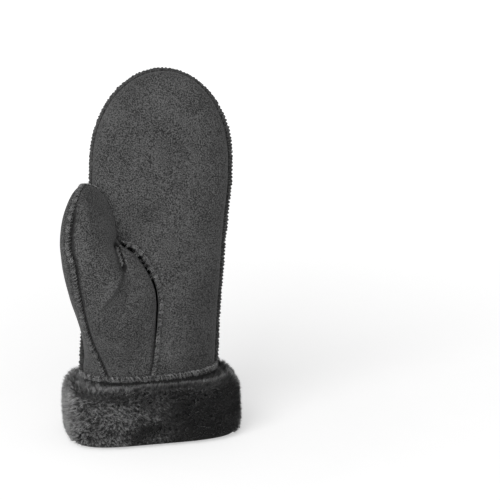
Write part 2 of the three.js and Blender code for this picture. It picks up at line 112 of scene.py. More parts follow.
# Creases of the thumb's front: the places x, z along each, how far it stands out, and its reach on the left
# and right
CREASES = [
    (np.array([(-28.3, 131.5), (-31, 126), (-34, 120.5), (-37.5, 115.5), (-42, 109.5), (-47.5, 102.5)]),
     3.0, 5.0, 1.1),
    (np.array([(-24.3, 122), (-25.3, 113), (-25.8, 104), (-25.8, 95)]), -1.0, 1.6, 2.6),
]

# The shares of a crease's length over which it rises to its full strength and falls off again
CREASE_RISE, CREASE_FALL = (-0.2, 0.15), (0.55, 1)

# Painted shade: lines where the suede is painted darker, for the shade in its dents, beside its creases and
# on the parts that take less light: a line from x, z to x, z, its reach and how dark it is
PALM_SHADES = [
    (-24, 149, -5, 163, 5.5, 0.33), (-20, 252, -30, 218, 20, 0.24), (32, 104, 30, 62, 16, 0.3),
]
THUMB_SHADES = [
    (-50, 183, -44, 162, 9, 0.32), (-26.5, 130, -35.5, 114.5, 3.0, 0.42), (-36, 114, -45, 103, 2.6, 0.2),
]

# The cuff's mouth and face are ovals: centre x, half width, half depth, squareness
MOUTH = (-4.2, 41.6, 17.0, 0.95)
FACE = (-2.4, 63.6, 41.2, 0.46)

# The rim lies this much lower at both ends: over these distances across and these heights
RIM_DROP, DROP_ACROSS, DROP_HEIGHTS = 1.8, (26, 62), (12, 40)

# The cloth that the cuff's pile grows from: share from mouth to face, height. For its length a whole share
# counts as this many millimetres.
CLOTH_SECTION = np.array([
    (0.0, 6), (0.0, 17), (0.0, 28), (0.04, 38.6), (0.40, 38.6), (0.5, 38.8), (0.58, 40.2), (0.68, 40.2),
    (0.75, 37.6), (0.79, 33), (0.8, 28), (0.81, 22.5), (0.81, 15), (0.81, 9), (0.81, 4.2), (0.79, 1.2),
    (0.3, 0.6), (0.1, 1.6),
])
MOUTH_TO_FACE = 21

# The seams: the step of their paths, the pitch of their stitches, the wrist seam's height, and the short
# seam that runs down the thumb's front from the crotch, from x, z to x, z
PITCH = 0.4
STITCH = 2.6
WRIST_SEAM_HEIGHT = 47.0
DART_FROM, DART_TO = (-29.8, 146.5), (-27.2, 133.5)

# The sides of a thread, and the points of a hair: three at its root and one at its tip
THREAD_SIDES = 5
HAIR_POINTS = 4

# Small steps for slopes, across and up the panels and round the cuff
SMALL, CUFF_SMALL = 0.004, 0.0015


# Vectors and curves

def unit(v):
    """Each vector over its length."""
    return v / np.maximum(np.linalg.norm(v, axis=-1, keepdims=True), 1e-9)


def step(t, low, high):
    """0 below low, 1 above high and 3t^2 - 2t^3 between."""
    t = np.clip((t - low) / (high - low), 0, 1)
    return t * t * (3 - 2 * t)


def mix(a, b, share):
    """a at share 0 and b at share 1, in a straight line."""
    return a + (b - a) * share


def xyz(x, y, z):
    """Points from their three coordinates, which may be arrays of one shape or numbers."""
    return np.stack(np.broadcast_arrays(x, y, z), axis=-1).astype(float)


def through(rows, at):
    """The columns of a table at any places of its first: cubics through its rows, with even slopes.

    Each row's slope is the one from the row before it to the row after it."""
    x = rows[:, 0]
    high = np.minimum(np.arange(len(x)) + 1, len(x) - 1)
    low = np.maximum(np.arange(len(x)) - 1, 0)
    slopes = (rows[high, 1:] - rows[low, 1:]) / (x[high] - x[low])[:, None]
    at = np.clip(at, x[0], x[-1])
    i = np.clip(np.searchsorted(x, at, side="right") - 1, 0, len(x) - 2)
    span = (x[i + 1] - x[i])[..., None]
    t = (at - x[i])[..., None] / span
    a, b = rows[i, 1:], rows[i + 1, 1:]
    found = (2 * t**3 - 3 * t**2 + 1) * a + (3 * t**2 - 2 * t**3) * b
    found = found + span * ((t**3 - 2 * t**2 + t) * slopes[i] + (t**3 - t**2) * slopes[i + 1])
    return np.moveaxis(found, -1, 0)


def arch_share(base, rise, z):
    """What an arch leaves of a section at height z: a quarter circle, 1 at its base and 0 at its top."""
    return np.sqrt(np.maximum(0, 1 - np.clip((z - base) / rise, 0, 1) ** 2))


def power(v, exponent):
    """The sign of v times its size to a power."""
    return np.sign(v) * np.abs(v) ** exponent


def turned(normals, ways):
    """Unit normals, each turned round where it points against the way beside it."""
    return normals * np.sign((normals * ways).sum(-1, keepdims=True))


def cross_normals(grid):
    """The unit normals of a grid of points, from its steps along both ways. Their sign is the grid's."""
    return unit(np.cross(np.gradient(grid, axis=0), np.gradient(grid, axis=1)))


def soft_noise(shape, reach, seed, wrap=(True, True)):
    """Random heights with a spread of 1, smoothed by a bell curve reach cells wide along each way."""
    pad = [0 if w else int(4 * r) + 1 for r, w in zip(reach, wrap)]
    full = (shape[0] + pad[0], shape[1] + pad[1])
    waves = np.fft.fft2(np.random.default_rng(seed).normal(size=full))
    for axis in (0, 1):
        bell = np.exp(-2 * (np.pi * np.fft.fftfreq(full[axis]) * reach[axis]) ** 2)
        waves = waves * (bell[:, None] if axis == 0 else bell[None, :])
    found = np.real(np.fft.ifft2(waves))[: shape[0], : shape[1]]
    return found / found.std()


def line_distance(x, z, x0, z0, x1, z1):
    """How far a place is from a line from one place to another, and the share of the line beside it."""
    length_squared = (x1 - x0) ** 2 + (z1 - z0) ** 2
    along = np.clip(((x - x0) * (x1 - x0) + (z - z0) * (z1 - z0)) / length_squared, 0, 1)
    return np.hypot(x - mix(x0, x1, along), z - mix(z0, z1, along)), along


def bent(p):
    """y less the curl, which grows with the square of the height, and less each fold's bell curve."""
    x, y, z = np.moveaxis(p, -1, 0)
    rise = np.maximum(0, (z - WRIST) / (HAND_TOP - WRIST))
    push = sum(out * np.exp(-(line_distance(x, z, *line)[0] / reach) ** 2) for *line, reach, out in FOLDS)
    return xyz(x, y - FINGERTIP_CURL * rise**2 - push * step(-y, *FOLD_FADE), z)


# The hand's and the thumb's surfaces, as functions of a place across and a height

def hand_section(z):
    """Centre, half width and both depths at height z: the table's, less what the arch takes."""
    centre, half, palm, back = through(HAND, z)
    share = arch_share(HAND_BASE, HAND_RISE, z)
    return centre, half * share, palm * share**HAND_DEPTH_POWER, back * share**HAND_DEPTH_POWER


def hand_point(side, angle, z):
    """x is centre + half width * sin(angle), and y is depth * cos(angle) to a power below 1."""
    centre, half, palm, back = hand_section(z)
    depth, fullness = (palm, PALM_FULLNESS) if side < 0 else (back, BACK_FULLNESS)
    return xyz(centre + half * np.sin(angle), side * (GAP / 2 + depth * power(np.cos(angle), fullness)), z)


def palm_angle(x, z):
    """The angle whose sine is the share of the half width that x lies from the centre."""
    centre, half, _, _ = hand_section(z)
    return np.arcsin(np.clip((x - centre) / np.maximum(half, 1e-9), -1, 1))


def palm_point(x, z):
    """The palm's surface at a place across and a height."""
    return hand_point(-1, palm_angle(x, z), z)


def thumb_ends(z):
    """The section's ends: on the palm seam and the hand's outline up to the web, and lifted off above it."""
    low = np.minimum(z, THUMB_BASE)
    centre, half, _, _ = hand_section(low)
    lift = step(z, WEB, WEB_TOP)
    (across,) = through(PALM_SEAM, low)
    inner = palm_point(across, low)
    inner[..., 1] -= WEB_LIFT * lift
    outer = palm_point(centre - half + OUTER_INSET * lift, low)
    outer[..., 1] -= OUTER_LIFT * lift
    return inner, outer


def thumb_base(share, z):
    """An arc of an oval from the first angle to the last, its two ends drawn to the section's ends.

    On the finger side the oval is x = cos^p, y = sin^p: p below 1 is a blunt flank, above 1 a gentler one."""
    low = np.minimum(z, THUMB_BASE)
    cx, cy, half_width, half_depth, first, last, _ = through(THUMB, low)
    (slope,) = through(SLOPES, z)

    def arc(s):
        angle = np.radians(mix(first, last, s))
        bend = np.where(angle < np.pi / 2, slope, 1.0)
        x = cx + half_width * power(np.cos(angle), bend)
        return xyz(x, cy - half_depth * power(np.sin(angle), bend), low)

    inner, outer = thumb_ends(z)
    found = arc(share)
    found = found + (inner - arc(0.0)) * (1 - step(share, 0, INNER_PULL))[..., None]
    found = found + (outer - arc(1.0)) * (1 - step(1 - share, 0, OUTER_PULL))[..., None]
    found[..., 2] = low
    return found


def rear_base(share, z):
    """The palm's surface from the thumb's outer end to its inner one, lifted towards the thumb."""
    inner, outer = thumb_ends(z)
    low = np.minimum(z, THUMB_BASE)
    lift = step(z, WEB, WEB_TOP)
    x = mix(outer[..., 0], inner[..., 0], share)
    return xyz(x, palm_point(x, low)[..., 1] - mix(OUTER_LIFT, WEB_LIFT, share) * lift, low)


def thumb_axis(z):
    """The middle of the section, which drifts across and back by what the arch has taken."""
    cx, cy = through(THUMB, z)[:2]
    gone = 1 - arch_share(THUMB_BASE, THUMB_RISE, z)
    return xyz(cx + THUMB_DRIFT[0] * gone, cy + THUMB_DRIFT[1] * gone, z)


def arched(base, share, z):
    """Above the arch's base the section there shrinks about the thumb's axis by the arch's share."""
    spoke = base(share, z) - thumb_axis(np.minimum(z, THUMB_BASE))
    return thumb_axis(z) + spoke * arch_share(THUMB_BASE, THUMB_RISE, z)[..., None]


def resting(z):
    """How far the thumb's inner edge goes back to the palm: all of it from above the web to near the tip."""
    inner = arched(thumb_base, 0 * z, z)
    back = palm_point(inner[..., 0], z)[..., 1] - REST_GAP - inner[..., 1]
    return np.maximum(back, 0) * step(z, *REST_BEGINS) * (1 - step(z, *REST_ENDS))


def thumb_point(share, z):
    """The arched section, drawn back onto the palm in full at its inner edge and less away from it."""
    found = arched(thumb_base, share, z)
    found[..., 1] += resting(z) * (1 - step(share, 0, REST_SHARE))
    return found


def rear_point(share, z):
    """The arched back of the thumb, drawn back as its inner edge is, by a share that grows towards it."""
    found = arched(rear_base, share, z)
    found[..., 1] += resting(z) * step(share, REAR_REST_SHARE, 1)
    return found


def thumb_core(z):
    """The point that the thumb's walls close in on, half as high above the arch's base as they are."""
    found = thumb_axis(z)
    found[..., 2] = z - np.maximum(0, z - THUMB_BASE) * CORE_RISE
    return found


def thumb_normal(share, z):
    """The unit normal of the thumb's surface, away from its core, from small steps across and up."""
    normal = np.cross(thumb_point(share + SMALL, z) - thumb_point(share - SMALL, z),
                      thumb_point(share, z + SMALL) - thumb_point(share, z - SMALL))
    return turned(unit(normal), thumb_point(share, z) - thumb_core(z))


def outer_seam(z):
    """The place of the outer seam along the section, which turns a little towards the front over the tip."""
    return through(THUMB, z)[6] - TIP_SEAM_TURN * step(z, TIP_TURN_BASE, THUMB_TOP)


def arch_heights(bottom, base, rise, lower, upper):
    """Even heights up to an arch's base, and above it those of even angles, so that the rows stay even."""
    angles = np.linspace(0, np.pi / 2, upper)
    return np.concatenate([np.linspace(bottom, base, lower)[:-1], base + rise * np.sin(angles)])


def rows_of(heights, columns):
    """A grid whose rows have one height each."""
    return np.broadcast_to(heights[:, None], (len(heights), columns))


# Seams: paths with a point, the way the seam stands out of the cloth, and the way across it, at even steps

def even_path(points, normals, pitch):
    """A path's points, normals, ways across and lengths so far, at steps of about pitch along its course."""
    length = np.concatenate([[0], np.cumsum(np.linalg.norm(np.diff(points, axis=0), axis=1))])
    at = np.linspace(0, length[-1], int(length[-1] / pitch) + 2)

    def along(v):
        return np.stack([np.interp(at, length, v[:, k]) for k in range(3)], axis=1)

    p, n = along(points), along(normals)
    tangent = unit(np.gradient(p, axis=0))
    n = unit(n - tangent * (n * tangent).sum(1, keepdims=True))
    return {"p": p, "n": n, "b": np.cross(tangent, n), "s": at}


def sampled(path, at):
    """A path's point, normal and way across at lengths at, in straight lines between its steps."""
    return [
        np.stack([np.interp(at, path["s"], path[key][:, k]) for k in range(3)], axis=-1) for key in "pnb"
    ]


def outline_path(pitch):
    """Up the thumb's side of the hand, over the fingertips and down the other side, between palm and back."""
    z = arch_heights(WRIST, HAND_BASE, HAND_RISE, lower=160, upper=120)
    centre, half, _, _ = hand_section(z)
    left, right = xyz(centre - half, 0, z), xyz(centre + half, 0, z)
    points = np.concatenate([left, right[-2::-1]])
    tangent = unit(np.gradient(points, axis=0))
    return even_path(points, xyz(-tangent[:, 2], 0, tangent[:, 0]), pitch)


def front_path(pitch):
    """Up the palm seam and the thumb's inner edge, over the thumb's tip and down its outer seam.

    Below the web it stands out of the surface, and above it away from the thumb's core."""
    z = arch_heights(WRIST, THUMB_BASE, THUMB_RISE, lower=140, upper=70)
    inner, outer = thumb_point(0 * z, z), thumb_point(outer_seam(z), z)
    core = thumb_core(z)
    (across,) = through(PALM_SEAM, np.minimum(z, WEB))
    palm = np.cross(palm_point(across + SMALL, z) - palm_point(across - SMALL, z),
                    palm_point(across, z + SMALL) - palm_point(across, z - SMALL))
    palm = unit(palm) * np.sign(-palm[:, 1:2])
    upper = step(z, WEB - 6, WEB + 5)[:, None]
    inner_normal = mix(palm, unit(inner - core), upper)
    outer_normal = mix(thumb_normal(outer_seam(z), z), unit(outer - core), upper)
    points = np.concatenate([inner, outer[-2::-1]])
    normals = np.concatenate([inner_normal, outer_normal[-2::-1]])
    return even_path(points, unit(normals), pitch)


def wrist_path(height, pitch, steps=120):
    """Once round the hand at a height: the thumb's base, the palm to the right and the back, closed."""
    level = np.full(steps, height)
    (across,) = through(PALM_SEAM, level[:1])
    seam = palm_angle(across, level[:1])[0]
    thumb = thumb_point(np.linspace(1, 0, steps), level)
    palm = hand_point(-1, np.linspace(seam, np.pi / 2, steps), level)
    back = hand_point(1, -np.linspace(-np.pi / 2, np.pi / 2, steps), level)
    points = np.concatenate([thumb, palm[1:], back[1:], thumb[:1]])
    around = np.gradient(points, axis=0)
    around[0] = around[-1] = points[1] - points[-2]
    return even_path(points, unit(np.cross(around, [0.0, 0.0, 1.0])), pitch)


def dart_path(pitch, rows=60, columns=900, smoothing=6):
    """A line on the thumb's front: for each height the share across whose x is nearest to the line's."""
    z = np.linspace(DART_FROM[1], DART_TO[1], rows)
    x = np.linspace(DART_FROM[0], DART_TO[0], rows)
    shares = np.linspace(0.005, 0.6, columns)
    places = thumb_point(np.broadcast_to(shares, (rows, columns)), rows_of(z, columns))
    best = shares[np.argmin(np.abs(places[..., 0] - x[:, None]), axis=1)]
    window = 2 * smoothing + 1
    best = np.convolve(np.pad(best, smoothing, mode="edge"), np.ones(window) / window, mode="valid")
    return even_path(thumb_point(best, z), thumb_normal(best, z), pitch)


def part_of(path, start, end):
    """The steps of a path from start to end, with lengths that begin at 0."""
    found = {key: path[key][start:end] for key in "pnb"}
    found["s"] = path["s"][start:end] - path["s"][start:end][0]
    return found


def beside(path, across, out):
    """A path moved by so much across and out."""
    return {**path, "p": path["p"] + path["b"] * across + path["n"] * out}


def along_path(value, path):
    """A value for each step of a path, from one number or from one for each step."""
    return np.broadcast_to(value, path["s"].shape)


def seam_near(points, path, kept=slice(None), block_size=40):
    """How far each point is from the nearest step of a path, and the path's length up to that step."""
    flat = points.reshape(-1, 3)
    places, lengths = path["p"][kept][::2], path["s"][kept][::2]
    found, at = np.full(len(flat), np.inf), np.zeros(len(flat))
    blocks = len(places) // block_size + 1
    for block, length in zip(np.array_split(places, blocks), np.array_split(lengths, blocks)):
        gaps = ((flat[:, None, :] - block[None, :, :]) ** 2).sum(2)
        nearest = gaps.argmin(1)
        gap = np.sqrt(gaps[np.arange(len(flat)), nearest])
        at = np.where(gap < found, length[nearest], at)
        found = np.minimum(found, gap)
    return found.reshape(points.shape[:-1]), at.reshape(points.shape[:-1])


# Meshes

def to_part(points):
    """Bent, moved to the part's origin, and in metres."""
    return (bent(points) + PART_SHIFT) * MM


def quads(i, j, after_i, after_j, columns):
    """The corners of quads in a grid of points, from the rows and columns of two opposite ones."""
    corners = [i * columns + j, i * columns + after_j, after_i * columns + after_j, after_i * columns + j]
    return np.stack([c.ravel() for c in corners], axis=1)


def grid_faces(rows, columns, wrap=False, kept=None):
    """The quads of a grid of points, row after row. wrap joins the last column to the first."""
    i, j = np.meshgrid(np.arange(rows - 1), np.arange(columns if wrap else columns - 1), indexing="ij")
    if kept is not None:
        i, j = i[kept(i, j)], j[kept(i, j)]
    return quads(i, j, i + 1, (j + 1) % columns, columns)


def ring_faces(rows, columns):
    """The quads of a grid that is closed both ways."""
    i, j = np.meshgrid(np.arange(rows), np.arange(columns), indexing="ij")
    return quads(i, j, (i + 1) % rows, (j + 1) % columns, columns)


def fan_faces(corners):
    """The triangles from a ring's first corner to each of its sides."""
    first = np.zeros(corners - 2, int)
    return np.stack([first, np.arange(1, corners - 1), np.arange(2, corners)], axis=1)


def volume_sign(points, faces):
    """The sign of the volume that the faces close in: positive if they face outwards."""
    a, b, c = (points[faces[:, k]] for k in (0, 1, 2))
    total = (a * np.cross(b, c)).sum()
    if faces.shape[1] == 4:
        d = points[faces[:, 3]]
        total += (a * np.cross(c, d)).sum()
    return np.sign(total)


def new_piece(name, points, faces, materials, nodes=(), values=None, uv=None, material_of=None):
    """A piece from points in metres and arrays of faces.

    values are its numbers by point, uv is its map by corner, and material_of has each face's material."""
    mesh = bpy.data.meshes.new(name)
    sizes = np.concatenate([np.full(len(f), f.shape[1]) for f in faces])
    corners = np.concatenate([f.ravel() for f in faces])
    mesh.vertices.add(len(points))
    mesh.vertices.foreach_set("co", points.astype(np.float32).ravel())
    mesh.loops.add(len(corners))
    mesh.loops.foreach_set("vertex_index", corners.astype(np.int32))
    mesh.polygons.add(len(sizes))
    mesh.polygons.foreach_set("loop_start", np.concatenate([[0], np.cumsum(sizes)[:-1]]).astype(np.int32))
    mesh.update(calc_edges=True)
    for key, numbers in (values or {}).items():
        data = mesh.attributes.new(key, "FLOAT", "POINT").data
        data.foreach_set("value", numbers.astype(np.float32).ravel())
    if uv is not None:
        mesh.uv_layers.new(name="threads").data.foreach_set("uv", uv.astype(np.float32).ravel())
    for material in materials:
        mesh.materials.append(material)
    if material_of is not None:
        mesh.polygons.foreach_set("material_index", material_of.astype(np.int32))
    mesh.polygons.foreach_set("use_smooth", np.ones(len(sizes), bool))
    mesh.validate()
    made = bpy.data.objects.new(name, mesh)
    bpy.context.scene.collection.objects.link(made)
    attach(made, "root")
    if nodes:
        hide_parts(*nodes)
    return made


def weld(piece, distance=2e-6):
    """Joins points that lie on each other, as at a pole, and drops faces that are left without a surface."""
    work = bmesh.new()
    work.from_mesh(piece.data)
    bmesh.ops.remove_doubles(work, verts=work.verts, dist=distance)
    bmesh.ops.dissolve_degenerate(work, edges=work.edges, dist=distance)
    work.to_mesh(piece.data)
    work.free()


def wall_piece(name, outer, inner, nodes, kept=None, values=None, sharp_from=60):
    """A panel with a suede face, a plush lining one wall further in, and a rim round its border.

    A border side is a side of a kept quad whose other way round no quad has."""
    rows, columns = outer.shape[:2]
    faces = grid_faces(rows, columns, kept=kept)
    count = rows * columns
    starts, ends = faces.ravel(), np.roll(faces, -1, axis=1).ravel()
    border = ~np.isin(starts * count + ends, ends * count + starts)
    a, b = starts[border], ends[border]
    rim = np.stack([b, a, a + count, b + count], axis=1)
    points = np.concatenate([outer.reshape(-1, 3), inner.reshape(-1, 3)])
    every = np.concatenate([faces, faces[:, ::-1] + count, rim])
    if volume_sign(points, every) < 0:
        every = every[:, ::-1]
    below_seam = outer.reshape(-1, 3)[faces, 2].mean(1) < WRIST_SEAM_HEIGHT
    lining = np.concatenate([below_seam, np.ones(len(faces) + len(rim))])
    used, place = np.unique(every, return_inverse=True)
    numbers = {key: np.concatenate([v.ravel(), v.ravel()])[used] for key, v in (values or {}).items()}
    piece = new_piece(name, to_part(points[used]), [place.reshape(every.shape)], [SUEDE, LINING],
                      nodes, numbers, material_of=lining)
    weld(piece)
    piece.data.set_sharp_from_angle(angle=np.radians(sharp_from))
    return piece


def swept(path, b, n, closed=False, end_share=0.35, end_reach=3):
    """A closed profile carried along a path: point + across * b + normal * n, shrunk at both ends.

    b and n have one row for each step of the path and one column for each corner."""
    count, corners = b.shape
    if not closed:
        edge = np.minimum(path["s"], path["s"][-1] - path["s"])
        share = mix(end_share, 1, step(edge, 0, end_reach))[:, None]
        b, n = b * share, n * share
    across, out = path["b"][:, None, :] * b[..., None], path["n"][:, None, :] * n[..., None]
    points = path["p"][:, None, :] + across + out
    if closed:
        points = points[:-1]
        found = [ring_faces(count - 1, corners)]
    else:
        fan = fan_faces(corners)
        found = [grid_faces(count, corners, wrap=True), fan[:, ::-1], fan + (count - 1) * corners]
    flat = points.reshape(-1, 3)
    if volume_sign(flat, found[0]) < 0:
        found = [f[:, ::-1] for f in found]
    return flat, found


def joined(parts):
    """Several (points, faces, numbers...) as one, with the faces' places moved on.

    Faces go together by their size."""
    moved, offset = {}, 0
    for points, faces, *_ in parts:
        for f in faces:
            moved.setdefault(f.shape[1], []).append(f + offset)
        offset += len(points)
    faces = [np.concatenate(found) for _, found in sorted(moved.items())]
    numbers = [np.concatenate(column) for column in list(zip(*parts))[2:]]
    return [np.concatenate([part[0] for part in parts]), faces, *numbers]


def threads(paths, ups, radius):
    """Round threads, closed at both ends.

    About each path's points goes a ring of radius times cos and sin on its side and up. Also gives the share
    along the thread and each thread's own random number."""
    count, length = paths.shape[:2]
    tangent = unit(np.gradient(paths, axis=1))
    side = unit(np.cross(tangent, ups))
    up = np.cross(side, tangent)
    turn = np.linspace(0, 2 * np.pi, THREAD_SIDES, endpoint=False)
    size = np.broadcast_to(radius, (count, length))[:, :, None, None]
    ring = side[:, :, None] * np.cos(turn)[:, None] + up[:, :, None] * np.sin(turn)[:, None]
    points = (paths[:, :, None] + ring * size).reshape(-1, 3)
    one = grid_faces(length, THREAD_SIDES, wrap=True)
    fan = fan_faces(THREAD_SIDES)
    caps = np.concatenate([fan[:, ::-1], fan + (length - 1) * THREAD_SIDES])
    start = (np.arange(count) * length * THREAD_SIDES)[:, None, None]
    sides = (one[None] + start).reshape(-1, 4)
    ends = (caps[None] + start).reshape(-1, 3)
    if volume_sign(points[: length * THREAD_SIDES], one) < 0:
        sides, ends = sides[:, ::-1], ends[:, ::-1]
    along = np.repeat(np.tile(np.linspace(0, 1, length), count), THREAD_SIDES)
    lot = np.repeat(np.random.default_rng(count).random(count), length * THREAD_SIDES)
    return points, [ends, sides], along, lot


def hairs(roots, tips, radius, lot):
    """Slim closed three-sided spikes from each root to its tip.

    Also gives 0 at the root and 1 at the tip, and the lot."""
    axis = unit(tips - roots)
    helper = np.where(np.abs(axis[:, 2:3]) < 0.9, [[0.0, 0.0, 1.0]], [[1.0, 0.0, 0.0]])
    side = unit(np.cross(axis, helper))
    up = np.cross(axis, side)
    size = np.broadcast_to(radius, len(roots))[:, None]
    ring = [roots + (side * np.cos(t) + up * np.sin(t)) * size for t in np.radians([90, 210, 330])]
    points = np.stack([*ring, tips], axis=1).reshape(-1, 3)
    start = np.arange(len(roots))[:, None] * HAIR_POINTS
    one = np.array([[0, 1, 3], [1, 2, 3], [2, 0, 3], [0, 2, 1]])
    faces = (one[None] + start[:, :, None]).reshape(-1, 3)
    along = np.tile([0.0, 0.0, 0.0, 1.0], len(roots))
    return points, [faces], along, np.repeat(lot, HAIR_POINTS)


# Materials

def socket_group(name, inputs, outputs):
    """A shader node group with named sockets: (name, kind, default)."""
    group = bpy.data.node_groups.new(name, "ShaderNodeTree")
    kinds = {"vector": "NodeSocketVector", "value": "NodeSocketFloat", "colour": "NodeSocketColor"}
    for label, kind, default in inputs:
        made = group.interface.new_socket(name=label, in_out="INPUT", socket_type=kinds[kind])
        if default is not None:
            made.default_value = default
    for label, kind in outputs:
        group.interface.new_socket(name=label, in_out="OUTPUT", socket_type=kinds[kind])
    return group, group.nodes.new("NodeGroupInput"), group.nodes.new("NodeGroupOutput")


def add(tree, kind, links=None, **settings):
    """A node with its settings, and links from its input's name or place to a socket or a value."""
    node = tree.nodes.new(kind)
    for key, value in settings.items():
        setattr(node, key, value)
    for key, source in (links or {}).items():
        if isinstance(source, bpy.types.NodeSocket):
            tree.links.new(source, node.inputs[key])
        else:
            node.inputs[key].default_value = source
    return node


def maths(tree, operation, a, b=0.0, c=0.0):
    return add(tree, "ShaderNodeMath", {0: a, 1: b, 2: c}, operation=operation).outputs[0]


def swung(tree, noise, middle, depth, tone):
    """tone plus depth times what the noise differs from its middle."""
    return maths(tree, "MULTIPLY_ADD", maths(tree, "SUBTRACT", noise, middle), depth, tone)


def blend_colour(tree, share, a, b):
    return add(tree, "ShaderNodeMix", {0: share, 6: a, 7: b}, data_type="RGBA").outputs[2]


def grey(value):
    return (value, value, value, 1.0)


def nap_group():
    """Suede: fine pebbled grain, patches where the nap lies another way, and softer clouds. In metres."""
    grain_contrast, grain_level = 5.6, -2.35
    pebble_depth, patch_depth, cloud_depth = -0.5, 0.7, 0.15
    group, given, out = socket_group("suede_nap", [
        ("Vector", "vector", None), ("Dark", "colour", grey(0.05)), ("Light", "colour", grey(0.09)),
        ("Grain Size", "value", 0.0013), ("Patch Size", "value", 0.02),
    ], [("Color", "colour"), ("Height", "value"), ("Roughness", "value")])
    place = given.outputs["Vector"]
    fine = maths(group, "DIVIDE", 1.0, given.outputs["Grain Size"])
    broad = maths(group, "DIVIDE", 1.0, given.outputs["Patch Size"])
    grain = add(group, "ShaderNodeTexNoise", {
        "Vector": place, "Scale": fine, "Detail": 3.5, "Roughness": 0.62})
    pebble_scale = maths(group, "MULTIPLY", fine, 0.8)
    pebble = add(group, "ShaderNodeTexVoronoi", {"Vector": place, "Scale": pebble_scale}, feature="SMOOTH_F1")
    patch = add(group, "ShaderNodeTexNoise", {
        "Vector": place, "Scale": broad, "Detail": 2.0, "Roughness": 0.55})
    cloud = add(group, "ShaderNodeTexNoise", {
        "Vector": place, "Scale": maths(group, "MULTIPLY", broad, 5.0), "Detail": 2.0, "Roughness": 0.5})
    tone = maths(group, "MULTIPLY_ADD", grain.outputs[0], grain_contrast, grain_level)
    tone = swung(group, pebble.outputs["Distance"], 0.45, pebble_depth, tone)
    tone = swung(group, patch.outputs[0], 0.5, patch_depth, tone)
    tone = swung(group, cloud.outputs[0], 0.5, cloud_depth, tone)
    tone = add(group, "ShaderNodeClamp", {0: tone}).outputs[0]
    colour = blend_colour(group, tone, given.outputs["Dark"], given.outputs["Light"])
    height = maths(group, "MULTIPLY_ADD", pebble.outputs["Distance"], -0.6, grain.outputs[0])
    rough = maths(group, "MULTIPLY_ADD", grain.outputs[0], 0.2, 0.74)
    group.links.new(colour, out.inputs["Color"])
    group.links.new(height, out.inputs["Height"])
    group.links.new(rough, out.inputs["Roughness"])
    return group


def pile_group():
    """Plush: dark at the root and paler at the tip, paler still with its painted light and brushing, each lot
    a little different, with soft broad patches.
    """
    lot_depth, patch_depth, along_power = 0.5, 0.7, 1.5
    group, given, out = socket_group("plush_pile", [
        ("Vector", "vector", None), ("Root", "colour", grey(0.01)), ("Tip", "colour", grey(0.05)),
        ("Lit And Brushed Tip", "colour", grey(0.12)), ("Along", "value", 0.5), ("Lot", "value", 0.5),
        ("Lit_And_Brushed", "value", 0.0), ("Patch Size", "value", 0.018),
    ], [("Color", "colour"), ("Roughness", "value")])
    broad = maths(group, "DIVIDE", 1.0, given.outputs["Patch Size"])
    patch = add(group, "ShaderNodeTexNoise", {
        "Vector": given.outputs["Vector"], "Scale": broad, "Detail": 2.0, "Roughness": 0.5})
    share = maths(group, "POWER", given.outputs["Along"], along_power)
    share = swung(group, given.outputs["Lot"], 0.5, lot_depth, share)
    share = swung(group, patch.outputs[0], 0.5, patch_depth, share)
    share = add(group, "ShaderNodeClamp", {0: share}).outputs[0]
    tip = blend_colour(group, given.outputs["Lit_And_Brushed"], given.outputs["Tip"], given.outputs["Lit And Brushed Tip"])
    colour = blend_colour(group, share, given.outputs["Root"], tip)
    group.links.new(colour, out.inputs["Color"])
    group.links.new(maths(group, "MULTIPLY_ADD", share, -0.18, 0.68), out.inputs["Roughness"])
    return group


def ply_group():
    """Thread: two plies wound round each other, as ridges along the turn and the length of its map."""
    plies, ridge_share = 2.0, 0.55
    group, given, out = socket_group("thread_ply", [
        ("Map", "vector", None), ("Dark", "colour", grey(0.03)), ("Light", "colour", grey(0.09)),
        ("Turns", "value", 5.0), ("Lot", "value", 0.5),
    ], [("Color", "colour"), ("Height", "value")])
    parts = add(group, "ShaderNodeSeparateXYZ", {0: given.outputs["Map"]})
    wound = maths(group, "MULTIPLY_ADD", parts.outputs[0], given.outputs["Turns"],
                  maths(group, "MULTIPLY", parts.outputs[1], plies))
    ridge = maths(group, "SINE", maths(group, "MULTIPLY", wound, 2 * np.pi))
    ridge = maths(group, "MULTIPLY_ADD", ridge, 0.5, 0.5)
    own = maths(group, "MULTIPLY", given.outputs["Lot"], 1 - ridge_share)
    tone = maths(group, "MULTIPLY_ADD", ridge, ridge_share, own)
    colour = blend_colour(group, tone, given.outputs["Dark"], given.outputs["Light"])
    group.links.new(colour, out.inputs["Color"])
    group.links.new(ridge, out.inputs["Height"])
    return group


NAP, PILE, PLY = nap_group(), pile_group(), ply_group()

# Painted shade: the near-black of the shade deep in a seam's groove, over the dark lining that shows there
GROOVE_SHADE_COLOUR = grey(0.008)


def new_material(name, roughness, specular, sheen=0.0, sheen_roughness=0.5):
    """A material with one Principled shader, whose even values are set on its own sockets."""
    material = bpy.data.materials.new(name)
    material.use_nodes = True
    tree = material.node_tree
    shader = tree.nodes["Principled BSDF"]
    shader.inputs["Roughness"].default_value = roughness
    shader.inputs["Specular IOR Level"].default_value = specular
    shader.inputs["Sheen Weight"].default_value = sheen
    shader.inputs["Sheen Roughness"].default_value = sheen_roughness
    shader.inputs["Sheen Tint"].default_value = grey(1.0)
    place = add(tree, "ShaderNodeTexCoord").outputs["Object"]
    return material, tree, shader, place


def attribute(tree, name):
    return add(tree, "ShaderNodeAttribute", attribute_name=name, attribute_type="GEOMETRY").outputs["Fac"]


def bump(tree, height, strength, distance, shader):
    made = add(tree, "ShaderNodeBump", {"Height": height, "Strength": strength, "Distance": distance})
    tree.links.new(made.outputs[0], shader.inputs["Normal"])


